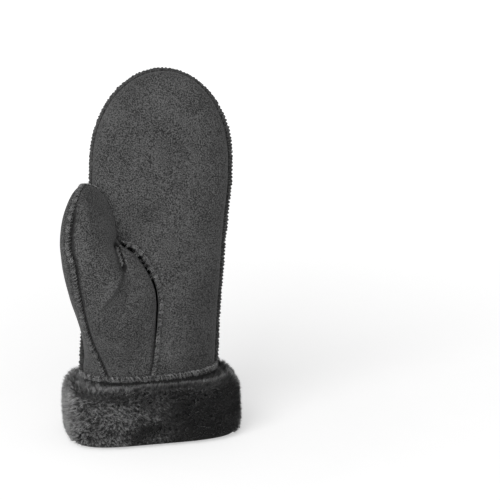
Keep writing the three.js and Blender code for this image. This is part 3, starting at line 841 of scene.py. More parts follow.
def suede_material(name, dark, light, grain):
    """Suede between two greys with a grain of so many metres, and the near-black of painted shade where the
    attribute dark says.
    """
    material, tree, shader, place = new_material(name, 0.85, 0.28, sheen=0.12)
    nap = add(tree, "ShaderNodeGroup", node_tree=NAP)
    tree.links.new(place, nap.inputs["Vector"])
    nap.inputs["Dark"].default_value = grey(dark)
    nap.inputs["Light"].default_value = grey(light)
    nap.inputs["Grain Size"].default_value = grain
    colour = blend_colour(tree, attribute(tree, "dark"), nap.outputs["Color"], GROOVE_SHADE_COLOUR)
    tree.links.new(colour, shader.inputs["Base Color"])
    tree.links.new(nap.outputs["Roughness"], shader.inputs["Roughness"])
    bump(tree, nap.outputs["Height"], 0.55, 0.00035, shader)
    return material


def plush_material(name, root, tip, lit_and_brushed=None, sheen=0.25):
    """Plush with three greys: of its roots, of its tips, and of its tips where painted light falls and it is
    brushed up.
    """
    material, tree, shader, place = new_material(name, 0.6, 0.3, sheen, 0.4)
    pile = add(tree, "ShaderNodeGroup", node_tree=PILE)
    tree.links.new(place, pile.inputs["Vector"])
    pile.inputs["Root"].default_value = grey(root)
    pile.inputs["Tip"].default_value = grey(tip)
    pile.inputs["Lit And Brushed Tip"].default_value = grey(lit_and_brushed or tip)
    for socket in ("Lit_And_Brushed", "Along", "Lot"):
        tree.links.new(attribute(tree, socket.lower()), pile.inputs[socket])
    tree.links.new(pile.outputs["Color"], shader.inputs["Base Color"])
    tree.links.new(pile.outputs["Roughness"], shader.inputs["Roughness"])
    return material


def thread_material(name, dark, light):
    """Thread between two greys, wound by its own map."""
    material, tree, shader, _ = new_material(name, 0.55, 0.4, 0.1, 0.4)
    ply = add(tree, "ShaderNodeGroup", node_tree=PLY)
    tree.links.new(add(tree, "ShaderNodeUVMap", uv_map="threads").outputs[0], ply.inputs["Map"])
    tree.links.new(attribute(tree, "lot"), ply.inputs["Lot"])
    ply.inputs["Dark"].default_value = grey(dark)
    ply.inputs["Light"].default_value = grey(light)
    tree.links.new(ply.outputs["Color"], shader.inputs["Base Color"])
    bump(tree, ply.outputs["Height"], 0.5, 0.0001, shader)
    return material


SUEDE = suede_material("bonded_suede", dark=0.011, light=0.118, grain=0.0008)
EDGE = suede_material("cut_edge", dark=0.02, light=0.125, grain=0.0009)
LINING = plush_material("plush_lining", root=0.02, tip=0.11)
# The cuff's cloth and pile take a paler tip grey where painted light falls on their lit side, mixed with
# their brushing
CLOTH = plush_material("cuff_cloth", root=0.004, tip=0.014, lit_and_brushed=0.07)
PLUSH = plush_material("cuff_plush", root=0.003, tip=0.027, lit_and_brushed=0.52, sheen=0.35)
FUZZ = plush_material("seam_fuzz", root=0.02, tip=0.6, sheen=0.3)
DARK_FUZZ = plush_material("dark_seam_fuzz", root=0.012, tip=0.06)
THREAD = thread_material("overcast_thread", dark=0.035, light=0.22)
PALE_THREAD = thread_material("wrist_overcast_thread", dark=0.05, light=0.24)
DARK_THREAD = thread_material("dark_overcast_thread", dark=0.014, light=0.075)


# The seams' courses and their grooves

OUTLINE = outline_path(PITCH)
FRONT = front_path(PITCH)
WRIST_SEAM = wrist_path(WRIST_SEAM_HEIGHT, PITCH)
DART = dart_path(PITCH)
TIP_AT = int(np.argmax(FRONT["p"][:, 2]))
CROTCH_AT = int(np.argmin(np.abs(FRONT["p"][:TIP_AT, 2] - WEB)))
CROTCH_LENGTH = float(FRONT["s"][CROTCH_AT])
TIP_LENGTH = float(FRONT["s"][TIP_AT])
PALM_SEAM_PART = slice(0, CROTCH_AT)
TIP_PART = slice(TIP_AT, None)

# Past the fingertips the outline's seam grows from its low kind to its full one between these lengths
FINGER_START, FINGER_FULL = 275.0, 330.0
FINGER_STOPS = [0, FINGER_START, FINGER_FULL, 356, 392]


def groove(path, kept=slice(None), depth=1.0, reach=3.0, dark=0.2, width=1.3):
    """A groove beside a seam, or beside the kept part of its steps, with painted shade in it.

    Each number is one for the whole seam, or a pair of lists: lengths along it and values."""
    return path, kept, (depth, reach, dark, width)


OUTLINE_GROOVE = groove(
    OUTLINE,
    depth=(FINGER_STOPS[:3], [1.2, 1.2, 2.4]),
    reach=(FINGER_STOPS[:3], [3, 3, 6.5]),
    dark=(FINGER_STOPS, [0.3, 0.3, 0.9, 0.9, 0.5]),
    width=(FINGER_STOPS, [0.7, 0.7, 5.2, 5.2, 2.4]),
)
BACK_GROOVE = groove(OUTLINE, depth=1.2, dark=0.4)
WRIST_GROOVE = groove(WRIST_SEAM, reach=3.2)
PALM_GROOVE = groove(
    FRONT, PALM_SEAM_PART, reach=2.6,
    depth=([60, 96], [0.8, 1.5]),
    dark=([40, 60, 80], [0.12, 0.32, 0.92]),
    width=([60, 84, 96, 108, CROTCH_LENGTH], [0.8, 1.8, 3.1, 3.3, 2.0]),
)
THUMB_PALM_GROOVE = groove(
    FRONT, PALM_SEAM_PART, depth=2.4, reach=2.6,
    dark=([0, 25, 60, 100], [0.3, 0.6, 0.78, 0.93]),
    width=([0, 30, 70, 88, 98, CROTCH_LENGTH], [1.1, 1.3, 1.7, 2.3, 3.8, 5.2]),
)
TIP_GROOVE = groove(
    FRONT, TIP_PART, reach=3.4,
    depth=([TIP_LENGTH + 12, TIP_LENGTH + 32], [0.3, 2.0]),
    dark=([TIP_LENGTH + 16, TIP_LENGTH + 30, TIP_LENGTH + 110], [0.0, 0.82, 0.7]),
    width=([TIP_LENGTH + 16, TIP_LENGTH + 34, TIP_LENGTH + 110], [1.2, 3.5, 2.0]),
)
SIDE_GROOVE = groove(
    FRONT, TIP_PART, depth=0.9, reach=2.6, width=3.2,
    dark=([TIP_LENGTH, TIP_LENGTH + 60, TIP_LENGTH + 110], [0.6, 0.6, 0.3]),
)
DART_GROOVE = groove(DART, depth=2.8, reach=2.2, dark=1.0, width=2.8)

# How softly a groove's painted shade ends, and the distances from a seam over which the cloth is let go into
# its waves
DARK_FADE = 0.8
FREED = (1, 12)


def sunk(points, normals, seams):
    """Points moved in along their normals where they near a seam: depth * e^-(distance / reach)^1.3.

    Also gives how much painted shade each takes in the groove, and how much of the soft waves it may take.
    The painted shade is even within a width that varies a little, and falls by a bell curve beyond it."""
    inward = np.zeros(points.shape[:-1])
    dark = np.zeros(points.shape[:-1])
    free = np.ones(points.shape[:-1])
    for path, kept, numbers in seams:
        distance, at = seam_near(points, path, kept)
        depth, reach, shade, width = (np.interp(at, *v) if isinstance(v, tuple) else v for v in numbers)
        uneven = 0.3 * np.sin(at * 1.9) * np.sin(at * 0.73 + 1)
        uneven = uneven + 0.25 * np.sin(at * 3.1 + 2) * np.sin(at * 1.3)
        inward = np.maximum(inward, depth * np.exp(-((distance / reach) ** 1.3)))
        beyond = np.maximum(distance - width * (1 + uneven), 0) / DARK_FADE
        dark = np.maximum(dark, shade * np.exp(-(beyond**2)))
        free = free * step(distance, *FREED)
    return points - normals * inward[..., None], dark, free


def painted_shade(points, shades):
    """Painted shade: the darkest of dark * e^-(distance / reach)^2 over the lines, each half as dark at its
    far end.
    """
    found = np.zeros(points.shape[:-1])
    for *line, reach, dark in shades:
        distance, along = line_distance(points[..., 0], points[..., 2], *line)
        found = np.maximum(found, dark * (1 - 0.5 * along) * np.exp(-((distance / reach) ** 2)))
    return found


def creased(points, creases):
    """For each crease out * f(how far along) * e^-(distance / reach), with a reach for its left and right."""
    x, z = points[..., 0], points[..., 2]
    total = np.zeros(x.shape)
    for line, out, left, right in creases:
        length = np.concatenate([[0], np.cumsum(np.hypot(*np.diff(line, axis=0).T))])
        at = np.linspace(0, length[-1], 60)
        lx, lz = np.interp(at, length, line[:, 0]), np.interp(at, length, line[:, 1])
        gaps = np.hypot(x[..., None] - lx, z[..., None] - lz)
        nearest = gaps.argmin(-1)
        way = unit(np.stack([np.gradient(lx), np.gradient(lz)], axis=1))
        side = (x - lx[nearest]) * -way[nearest, 1] + (z - lz[nearest]) * way[nearest, 0]
        reach = np.where(side > 0, right, left)
        rise = step(at, *(share * length[-1] for share in CREASE_RISE))
        strength = rise * (1 - step(at, *(share * length[-1] for share in CREASE_FALL)))
        total = total + out * strength[nearest] * np.exp(-gaps.min(-1) / reach)
    return total


def waves(shape, seed, size):
    """Soft unevenness: broad swells, and shallower short ones, as random heights on the grid."""
    broad = soft_noise(shape, (size * 2.2, size * 1.8), seed, wrap=(False, False))
    short = soft_noise(shape, (size * 0.7, size * 0.6), seed + 1, wrap=(False, False))
    return 0.38 * broad + 0.14 * short


# The four suede panels

def hand_panel(name, node, side, angles, z, seams, seed, kept=None, shades=()):
    """The palm or the back: the hand's surface, sunk at its seams and waved between them."""
    grid = hand_point(side, angles, z)
    centre = hand_section(z)[0]
    normals = turned(cross_normals(grid), grid - xyz(centre, 0, z - 1))
    normals[-1] = (0, 0, 1)
    inner = grid - normals * WALL
    outer, dark, free = sunk(grid, normals, seams)
    outer = outer + normals * (waves(z.shape, seed, size=8.5) * free)[..., None]
    return wall_piece(name, outer, inner, [node], kept, {"dark": np.maximum(dark, painted_shade(grid, shades))})


def thumb_panel(name, node, grid, z, seams, seed, size, kept=None, creases=(), shades=()):
    """A panel of the thumb. Above the web its lining closes in on the thumb's core, by a share at most."""
    core = thumb_core(z)
    below = z[:, :1] < WEB - 0.01
    normals = turned(cross_normals(grid), grid - core)
    spokes = grid - core
    shrink = np.minimum(WALL / np.maximum((spokes * normals).sum(-1), 1e-6), MAX_SHRINK)
    inner = np.where(below[..., None], grid - normals * WALL, grid - spokes * shrink[..., None])
    normals[-1] = (0, 0, 1)
    outer, dark, free = sunk(grid, normals, seams)
    outer = outer + normals * (waves(z.shape, seed, size) * free + creased(grid, creases))[..., None]
    return wall_piece(name, outer, inner, [node], kept, {"dark": np.maximum(dark, painted_shade(grid, shades))})


def heights_through_web(below, base, rise, lower, upper):
    """Even heights from the wrist to the web, with a row on the web itself, and then those of the arch."""
    return np.concatenate([np.linspace(WRIST, WEB, below)[:-1], arch_heights(WEB, base, rise, lower, upper)])


# The palm's columns close up towards the outline. One of them follows the palm seam up to the web.
LEFT, RIGHT = 44, 86
hand_z = heights_through_web(96, HAND_BASE, HAND_RISE, lower=44, upper=70)
web_row = int(np.argmin(np.abs(hand_z - WEB)))
(seam_x,) = through(PALM_SEAM, np.minimum(hand_z, WEB))
seam_angle = palm_angle(seam_x, np.minimum(hand_z, WEB))
middle = mix(seam_angle, np.radians(-8), step(hand_z, WEB, HAND_BASE))[:, None]
left_part = mix(-np.pi / 2, middle, 1 - np.cos(np.linspace(0, np.pi / 2, LEFT + 1))[None, :])
right_part = mix(middle, np.pi / 2, np.sin(np.linspace(0, np.pi / 2, RIGHT + 1))[None, :])
palm_angles = np.concatenate([left_part, right_part[:, 1:]], axis=1)
hand_panel(
    "palm_suede", "palm_panel", -1, palm_angles, rows_of(hand_z, palm_angles.shape[1]),
    [OUTLINE_GROOVE, PALM_GROOVE, WRIST_GROOVE], seed=11,
    kept=lambda i, j: (i >= web_row) | (j >= LEFT), shades=PALM_SHADES)

BACK_COLUMNS = 84
back_spread = np.pi / 2 * np.sin(np.linspace(-np.pi / 2, np.pi / 2, BACK_COLUMNS))
back_angles = np.broadcast_to(back_spread[None, :], (len(hand_z), BACK_COLUMNS))
hand_panel(
    "back_suede", "back_panel", 1, back_angles, rows_of(hand_z, BACK_COLUMNS),
    [BACK_GROOVE, WRIST_GROOVE], seed=23)

FRONT_COLUMNS = 99
front_rows = heights_through_web(144, THUMB_BASE, THUMB_RISE, lower=8, upper=52)
front_share = outer_seam(front_rows)[:, None] * np.linspace(0, 1, FRONT_COLUMNS)[None, :]
front_z = rows_of(front_rows, FRONT_COLUMNS)
thumb_panel(
    "thumb_front_suede", "thumb_front", thumb_point(front_share, front_z), front_z,
    [THUMB_PALM_GROOVE, TIP_GROOVE, DART_GROOVE, WRIST_GROOVE], seed=37, size=9,
    creases=CREASES, shades=THUMB_SHADES)

# The thumb's side goes on behind the thumb, where it is kept above the web alone
SIDE, REAR = 30, 22
side_rows = heights_through_web(72, THUMB_BASE, THUMB_RISE, lower=5, upper=36)
side_web_row = int(np.argmin(np.abs(side_rows - WEB)))
side_share = mix(outer_seam(side_rows)[:, None], 1, np.linspace(0, 1, SIDE + 1)[None, :])
rear_share = np.broadcast_to(np.linspace(0, 1, REAR + 1)[None, 1:], (len(side_rows), REAR))
side_part = thumb_point(side_share, rows_of(side_rows, SIDE + 1))
side_grid = np.concatenate([side_part, rear_point(rear_share, rows_of(side_rows, REAR))], axis=1)
thumb_panel(
    "thumb_side_suede", "thumb_side", side_grid, rows_of(side_rows, SIDE + 1 + REAR),
    [SIDE_GROOVE, WRIST_GROOVE], seed=41, size=5,
    kept=lambda i, j: (i >= side_web_row) | (j < SIDE))


# The seams' raw edges: two layers that stand out side by side, pinched by each stitch

EDGE_PROFILE = np.array([
    (0.02, -1.4), (0.02, 0.75), (0.22, 0.97), (0.58, 0.99), (0.88, 0.82), (1.04, 0.42), (1.06, -0.1),
    (1.0, -1.4),
])
EDGE_KNOTS, EDGE_UNEVEN = 1.7, 0.17
OUTLINE_WIDTH = 1.05

# The parts of the paths that have an edge, in steps: each keeps clear of the cuff by this many. The dart's
# edge lies deeper in the cloth.
CLEAR = 18
OUTLINE_BODY = part_of(OUTLINE, CLEAR, -CLEAR)
PALM_BODY = part_of(FRONT, CLEAR, CROTCH_AT + 6)
TIP_BODY = part_of(FRONT, TIP_AT - 30, -CLEAR)
CROTCH_BODY = part_of(FRONT, CROTCH_AT - 85, CROTCH_AT + 6)
DART_BODY = beside(DART, 0, -0.9)

# Towards the crotch the palm's edge lies back on the palm and the seam opens: length along the edge, how far
PALM_OPENING = ([0, 34, 50, 72, 86, 100, 112], [0, 0.3, 1.2, 1.8, 2.2, 2.5, 1.1])
PALM_BODY["p"] = PALM_BODY["p"] + PALM_BODY["b"] * np.interp(PALM_BODY["s"], *PALM_OPENING)[:, None]

# On the thumb's side and over the fingertips the outline's edge is low and lies back, and down the other side
# it stands forward. At the thumb's foot it stands up.
FINGER_SIDE = step(OUTLINE_BODY["s"], FINGER_START - 8, FINGER_FULL - 18)
THUMB_FOOT = 1 - step(OUTLINE_BODY["s"], 30, 62)
OUTLINE_LEAN = mix(mix(-0.45, 0.5, FINGER_SIDE), 0.1, THUMB_FOOT)
OUTLINE_HEIGHT = mix(mix(1.2, 1.9, FINGER_SIDE), 2.3, THUMB_FOOT)
OUTLINE_SPLIT = int(np.argmax(FINGER_SIDE > 0.5))
OVERLAP = 12
TIP_LEAN, PALM_LEAN = -0.1, 0.2

# Over the thumb's tip the edge is low
TIP_HEIGHT = mix(0.3, 1.0, step(TIP_BODY["s"], 10, 30))


def edge_layer(path, side, width, height, seed, lean=0.0, closed=False, bulge=0.25):
    """Corners at width * b and height * n, both times 1 + bulge * cos(2 pi length / stitch) + unevenness.

    lean carries the layer over by that share of its height."""
    rng = np.random.default_rng(seed)
    knots = np.arange(0, path["s"][-1] + 6, EDGE_KNOTS)
    uneven = np.interp(path["s"], knots, rng.normal(0, 1, len(knots)))
    swell = (1 + bulge * np.cos(2 * np.pi * path["s"] / STITCH) + EDGE_UNEVEN * uneven)[:, None]
    up = EDGE_PROFILE[None, :, 1]
    n = np.where(up > 0, up * along_path(height, path)[:, None] * swell, up * np.ones_like(swell))
    b = side * width * EDGE_PROFILE[None, :, 0] * (1 + 0.7 * (swell - 1))
    b = b + along_path(lean, path)[:, None] * np.maximum(n, 0)
    return swept(path, b, n, closed)


def edge_piece(name, parts):
    """Layers as one piece, each part with how much painted shade it takes."""
    points, faces, dark = joined([(*layer, np.full(len(layer[0]), shade)) for layer, shade in parts])
    return new_piece(name, to_part(points), faces, [EDGE], values={"dark": dark})


def outline_layers(start, end, seeds, shades, bulge):
    """Both layers of a part of the hand's outline: the back's and then the palm's."""
    path, lean, height = part_of(OUTLINE_BODY, start, end), OUTLINE_LEAN[start:end], OUTLINE_HEIGHT[start:end]
    layers = [
        edge_layer(path, side, OUTLINE_WIDTH, height, seed, lean, bulge=bulge)
        for side, seed in zip((-1, 1), seeds)
    ]
    return list(zip(layers, shades))


# The edges' painted shade is darkest on the layers that lie down in the grooves and turn from the light
edge_piece("hand_seam_edges_thumb_side",
           outline_layers(None, OUTLINE_SPLIT + OVERLAP, seeds=(1, 2), shades=(0.4, 0.3), bulge=0.16))
edge_piece("hand_seam_edges_finger_side",
           outline_layers(OUTLINE_SPLIT - OVERLAP, None, seeds=(11, 12), shades=(0.75, 0.0), bulge=0.22))
edge_piece("thumb_seam_edges", [
    (edge_layer(PALM_BODY, -1, 0.5, 0.5, seed=3, lean=PALM_LEAN), 0.9),
    (edge_layer(PALM_BODY, 1, 0.95, 1.2, seed=4, lean=PALM_LEAN), 0.0),
    (edge_layer(TIP_BODY, -1, 0.8, 1.1 * TIP_HEIGHT, seed=5, lean=TIP_LEAN), 0.8),
    (edge_layer(TIP_BODY, 1, 1.5, 1.7 * TIP_HEIGHT, seed=6, lean=TIP_LEAN), 0.25),
    (edge_layer(DART_BODY, -1, 0.5, 0.8, seed=9), 0.0),
    (edge_layer(DART_BODY, 1, 0.5, 0.9, seed=10), 0.0),
])
edge_piece("wrist_seam_edges", [
    (edge_layer(WRIST_SEAM, 1, 1.25, 1.5, seed=7, closed=True, bulge=0.35), 0.1),
    (edge_layer(WRIST_SEAM, -1, 1.25, 1.5, seed=8, closed=True, bulge=0.35), 0.6),
])


# Overcast stitches over each edge

STITCH_PATH = np.array([
    (-1.0, -0.5), (-1.06, 0.45), (-0.78, 0.98), (0.0, 1.12), (0.78, 0.98), (1.06, 0.45), (1.0, -0.5),
])


def overcast(path, width, height, radius, seed, lean=0.0, slant=0.34, pitch=STITCH, loose=0.35):
    """One stitch each pitch: across * width * b + normal * height * n, going slant of a pitch on and back.

    loose is how far the stitches' slants and, less so, their threads differ."""
    rng = np.random.default_rng(seed)
    at = np.arange(pitch, path["s"][-1] - pitch / 2, pitch)
    lean, height = (np.interp(at, path["s"], along_path(v, path))[:, None] for v in (lean, height))
    at = at + rng.normal(0, 0.09 * pitch, len(at))
    share = np.linspace(-slant, slant, len(STITCH_PATH))
    place = at[:, None] + share[None, :] * pitch * rng.normal(1, loose, (len(at), 1))
    point, normal, across = sampled(path, place)
    size = rng.normal(1, 0.07, (len(at), 1))
    n = STITCH_PATH[None, :, 1] * size * height
    b = STITCH_PATH[None, :, 0] * size * width + lean * np.maximum(n, 0)
    course = point + across * b[..., None] + normal * n[..., None]
    return threads(course, normal, radius * np.clip(rng.normal(1, 0.4 * loose, (len(at), 1)), 0.5, 1.6))


def stitch_piece(name, parts, material):
    """Threads as one piece, with a map of the share along each thread and round it."""
    points, faces, along, lot = joined(parts)
    corner = np.concatenate([f.ravel() for f in faces])
    uv = np.stack([along[corner], (corner % THREAD_SIDES) / THREAD_SIDES], axis=1)
    values = {"along": along, "lot": lot}
    return new_piece(name, to_part(points), faces, [material], values=values, uv=uv)


thumb_side_path = part_of(OUTLINE_BODY, None, OUTLINE_SPLIT)
thumb_side_height, thumb_side_lean = OUTLINE_HEIGHT[:OUTLINE_SPLIT], OUTLINE_LEAN[:OUTLINE_SPLIT]
finger_side_path = part_of(OUTLINE_BODY, OUTLINE_SPLIT, None)
finger_side_height, finger_side_lean = OUTLINE_HEIGHT[OUTLINE_SPLIT:], OUTLINE_LEAN[OUTLINE_SPLIT:]
stitch_piece("hand_overcast_stitches", [
    overcast(thumb_side_path, 1.1, thumb_side_height * 1.05, 0.26, seed=51, lean=thumb_side_lean),
    overcast(finger_side_path, 1.1, finger_side_height, 0.27, seed=56, lean=finger_side_lean),
], DARK_THREAD)
stitch_piece("thumb_overcast_stitches", [
    overcast(PALM_BODY, 0.95, 1.15, 0.27, seed=52, lean=PALM_LEAN),
    overcast(TIP_BODY, 1.35, 1.6 * TIP_HEIGHT, 0.28, seed=53, lean=TIP_LEAN),
    overcast(DART_BODY, 0.75, 1.4, 0.34, seed=55, slant=0.5, pitch=2.3),
], THREAD)
stitch_piece("wrist_overcast_stitches", [
    overcast(WRIST_SEAM, 1.5, 1.6, 0.42, seed=54, slant=0.5, loose=0.7),
], PALE_THREAD)


# Loose fuzz of the lining along the cut edges

FUZZ_RADIUS, CLUMP_PITCH, CLUMP_SPREAD = 0.1, 2.6, 0.45


def fuzz(path, count, width, height, length, seed, lean=0.0, clumped=0.55):
    """Fine hairs off the edge's top, each leaning its own way. A share of them stands in small clumps."""
    rng = np.random.default_rng(seed)
    at = rng.uniform(0.5, path["s"][-1] - 0.5, count)
    lot = rng.random(count)
    clumps = max(2, int(path["s"][-1] / CLUMP_PITCH))
    which = rng.integers(0, clumps, count)
    in_clump = rng.random(count) < clumped
    centres = rng.uniform(0.5, path["s"][-1] - 0.5, clumps)
    at = np.where(in_clump, centres[which] + rng.normal(0, CLUMP_SPREAD, count), at)
    lot = np.where(in_clump, 0.2 + 0.8 * rng.random(clumps)[which], 0.7 * lot)
    point, normal, across = sampled(path, np.clip(at, 0.3, path["s"][-1] - 0.3))
    off = rng.uniform(-1, 1, (count, 1))
    high = np.interp(at, path["s"], along_path(height, path))[:, None]
    lean = np.interp(at, path["s"], along_path(lean, path))[:, None]
    root = point + across * (off * width + lean * high) + normal * high * rng.uniform(0.4, 0.95, (count, 1))
    sideways = across * (off * 0.9 + rng.normal(0, 0.4, (count, 1)))
    way = unit(normal + sideways + rng.normal(0, 0.35, (count, 3)))
    tip = root + way * length * rng.uniform(0.5, 1.3, (count, 1))
    return hairs(root, tip, FUZZ_RADIUS, lot)


def fuzz_piece(name, parts, material):
    """Hairs as one piece, with neither painted light nor brushing on any of them."""
    points, faces, along, lot = joined(parts)
    values = {"along": along, "lot": lot, "lit_and_brushed": np.zeros(len(points))}
    return new_piece(name, to_part(points), faces, [material], values=values)


fuzz_piece("thumb_seam_fuzz", [
    fuzz(PALM_BODY, 4600, 1.1, 1.1, 1.1, seed=62, lean=PALM_LEAN, clumped=0.75),
    fuzz(TIP_BODY, 6000, 1.4, 1.6 * TIP_HEIGHT, 1.0, seed=63, lean=TIP_LEAN),
    fuzz(WRIST_SEAM, 8500, 1.5, 1.5, 1.3, seed=64, clumped=0.75),
    fuzz(DART_BODY, 60, 0.25, 1.0, 0.4, seed=65, clumped=0.9),
    fuzz(beside(DART, -3.4, 0), 240, 0.6, 0.3, 0.8, seed=69, clumped=0.85),
    fuzz(CROTCH_BODY, 700, 3.0, 0.7, 1.2, seed=68, clumped=0.9),
    fuzz(finger_side_path, 1200, 0.9, finger_side_height, 0.7, seed=66, lean=finger_side_lean),
], FUZZ)
fuzz_piece("hand_seam_fuzz", [
    fuzz(thumb_side_path, 2200, 0.9, thumb_side_height, 0.7, seed=61, lean=thumb_side_lean),
    fuzz(OUTLINE_BODY, 30, 0.9, OUTLINE_HEIGHT, 2.4, seed=67, lean=OUTLINE_LEAN),
], DARK_FUZZ)


# The turned-up cuff

def oval(angle, shape):
    """centre + half width * cos^p, half depth * sin^p, with the powers' signs kept."""
    centre, half_width, half_depth, square = shape
    return centre + half_width * power(np.cos(angle), square), half_depth * power(np.sin(angle), square)


around_angles = np.linspace(0, 2 * np.pi, 4001)
around_x, around_y = oval(around_angles, FACE)
around_length = np.concatenate([[0], np.cumsum(np.hypot(np.diff(around_x), np.diff(around_y)))])
PERIMETER = around_length[-1]


def around_angle(around):
    """The oval's angle at a share of the cuff's length round."""
    return np.interp(around * PERIMETER, around_length, around_angles)


def with_turns(section):
    """The section closed on itself, with a first column that runs from 0 to 1 by its length."""
    closed = np.concatenate([section, section[:1]])
    steps = np.hypot(np.diff(closed[:, 0]) * MOUTH_TO_FACE, np.diff(closed[:, 1]))
    turns = np.concatenate([[0], np.cumsum(steps)])
    return np.column_stack([turns / turns[-1], closed])


# Where on the section the cloth's middle lies between two of its rows, and where the mouth's top, the rim and
# the foot of the face are
CLOTH_TURNS = with_turns(CLOTH_SECTION)
CORE_TURNS = (CLOTH_TURNS[1, 0], CLOTH_TURNS[11, 0])
FLAT_TURN = float(CLOTH_TURNS[3, 0])
RIM_TURN = float(CLOTH_TURNS[4, 0])
FOOT_TURN = float(mix(CLOTH_TURNS[14, 0], CLOTH_TURNS[15, 0], 0.35))


def cuff_point(around, turn):
    """A place by the share of the length round the cuff and round its section.

    The section's curve gives a share and a height, and the share mixes the mouth's oval with the face's."""
    angle = around_angle(around)
    share, height = through(CLOTH_TURNS, turn)
    mouth_x, mouth_y = oval(angle, MOUTH)
    face_x, face_y = oval(angle, FACE)
    x = mix(mouth_x, face_x, share)
    drop = RIM_DROP * step(np.abs(x), *DROP_ACROSS) * step(height, *DROP_HEIGHTS)
    return xyz(x, mix(mouth_y, face_y, share), height - drop)


def cuff_roots(around, turn):
    """A place on the cuff's cloth and its outward normal, from small steps round the cuff and its section."""
    point = cuff_point(around, turn)
    east = cuff_point(np.mod(around + CUFF_SMALL, 1), turn) - cuff_point(np.mod(around - CUFF_SMALL, 1), turn)
    north = cuff_point(around, np.clip(turn + CUFF_SMALL, 0, 1))
    north = north - cuff_point(around, np.clip(turn - CUFF_SMALL, 0, 1))
    inside = 0.5 * (cuff_point(around, CORE_TURNS[0]) + cuff_point(around, CORE_TURNS[1]))
    return point, turned(unit(np.cross(east, north)), point - inside)


# Painted light on the pile: its tips are painted paler the nearer the thumb's end, where the light falls, and
# less towards the other end, over these places across, and more evenly up to the rim, over these heights
LIT_ACROSS, LIT_UP = (-66, 24), (31, 38)


def lit_side_share(points):
    """Painted light: how much paler the pile's tips are painted, most at the thumb's end where the light
    falls, next to none at the other.
    """
    face = np.clip(1.1 - step(points[:, 0], *LIT_ACROSS) * 1.1, 0, 1) ** 1.4
    return mix(face, 0.08 + 0.2 * face, step(points[:, 2], *LIT_UP))


def cloth_piece(rows=270, columns=86):
    """The cuff's cloth with the dense foot of the pile, swelling and sinking in soft tufts."""
    around, turn = np.meshgrid(
        np.linspace(0, 1, rows, endpoint=False), np.linspace(0, 1, columns, endpoint=False), indexing="ij")
    grid, normals = cuff_roots(around, turn)
    faces = ring_faces(rows, columns)
    if volume_sign(grid.reshape(-1, 3), faces) < 0:
        faces = faces[:, ::-1]
    fine = soft_noise((rows, columns), (1.3, 1.3), seed=71)
    tufts = 0.5 * fine + 0.5 * soft_noise((rows, columns), (5, 4), seed=72)
    grid = grid + normals * (tufts * step(grid[..., 2], 0.5, 6))[..., None]
    grid[..., 2] = np.maximum(grid[..., 2], 0.4)
    flat = grid.reshape(-1, 3)
    along = np.clip(0.35 + 0.15 * tufts.ravel(), 0, 1)
    # The cloth takes the same painted light as the pile: paler towards the thumb's end
    values = {"along": along, "lot": np.full(len(flat), 0.5), "lit_and_brushed": lit_side_share(flat)}
    return new_piece("cuff_cloth", to_part(flat), [faces], [CLOTH], ["fur_cuff"], values)


cloth_piece()

# A lock of pile: how far its roots spread, the section's length for this, and how far the tips are drawn
# together
LOCK_SPREAD, SECTION_LENGTH, LOCK_GATHER = 0.48, 190, 0.52

# Near the floor the locks lean down and are short: how far, and up to which height
FLOOR_LEAN, FLOOR_LEAN_TOP = -0.25, 9
FLOOR_SIZE, FLOOR_SIZE_TOP = 0.62, 8

# The chances of a lock that is hardly brushed, brushed, or brushed right up, and what each makes of its share
BRUSHINGS, BRUSH_CHANCES = [0.1, 0.9, 2.3], [0.38, 0.34, 0.28]

# Which way the pile lies and how far it is brushed changes in soft patches, round the cuff and its section
PATCHES = soft_noise((330, 190), (6.0, 4.5), seed=77)


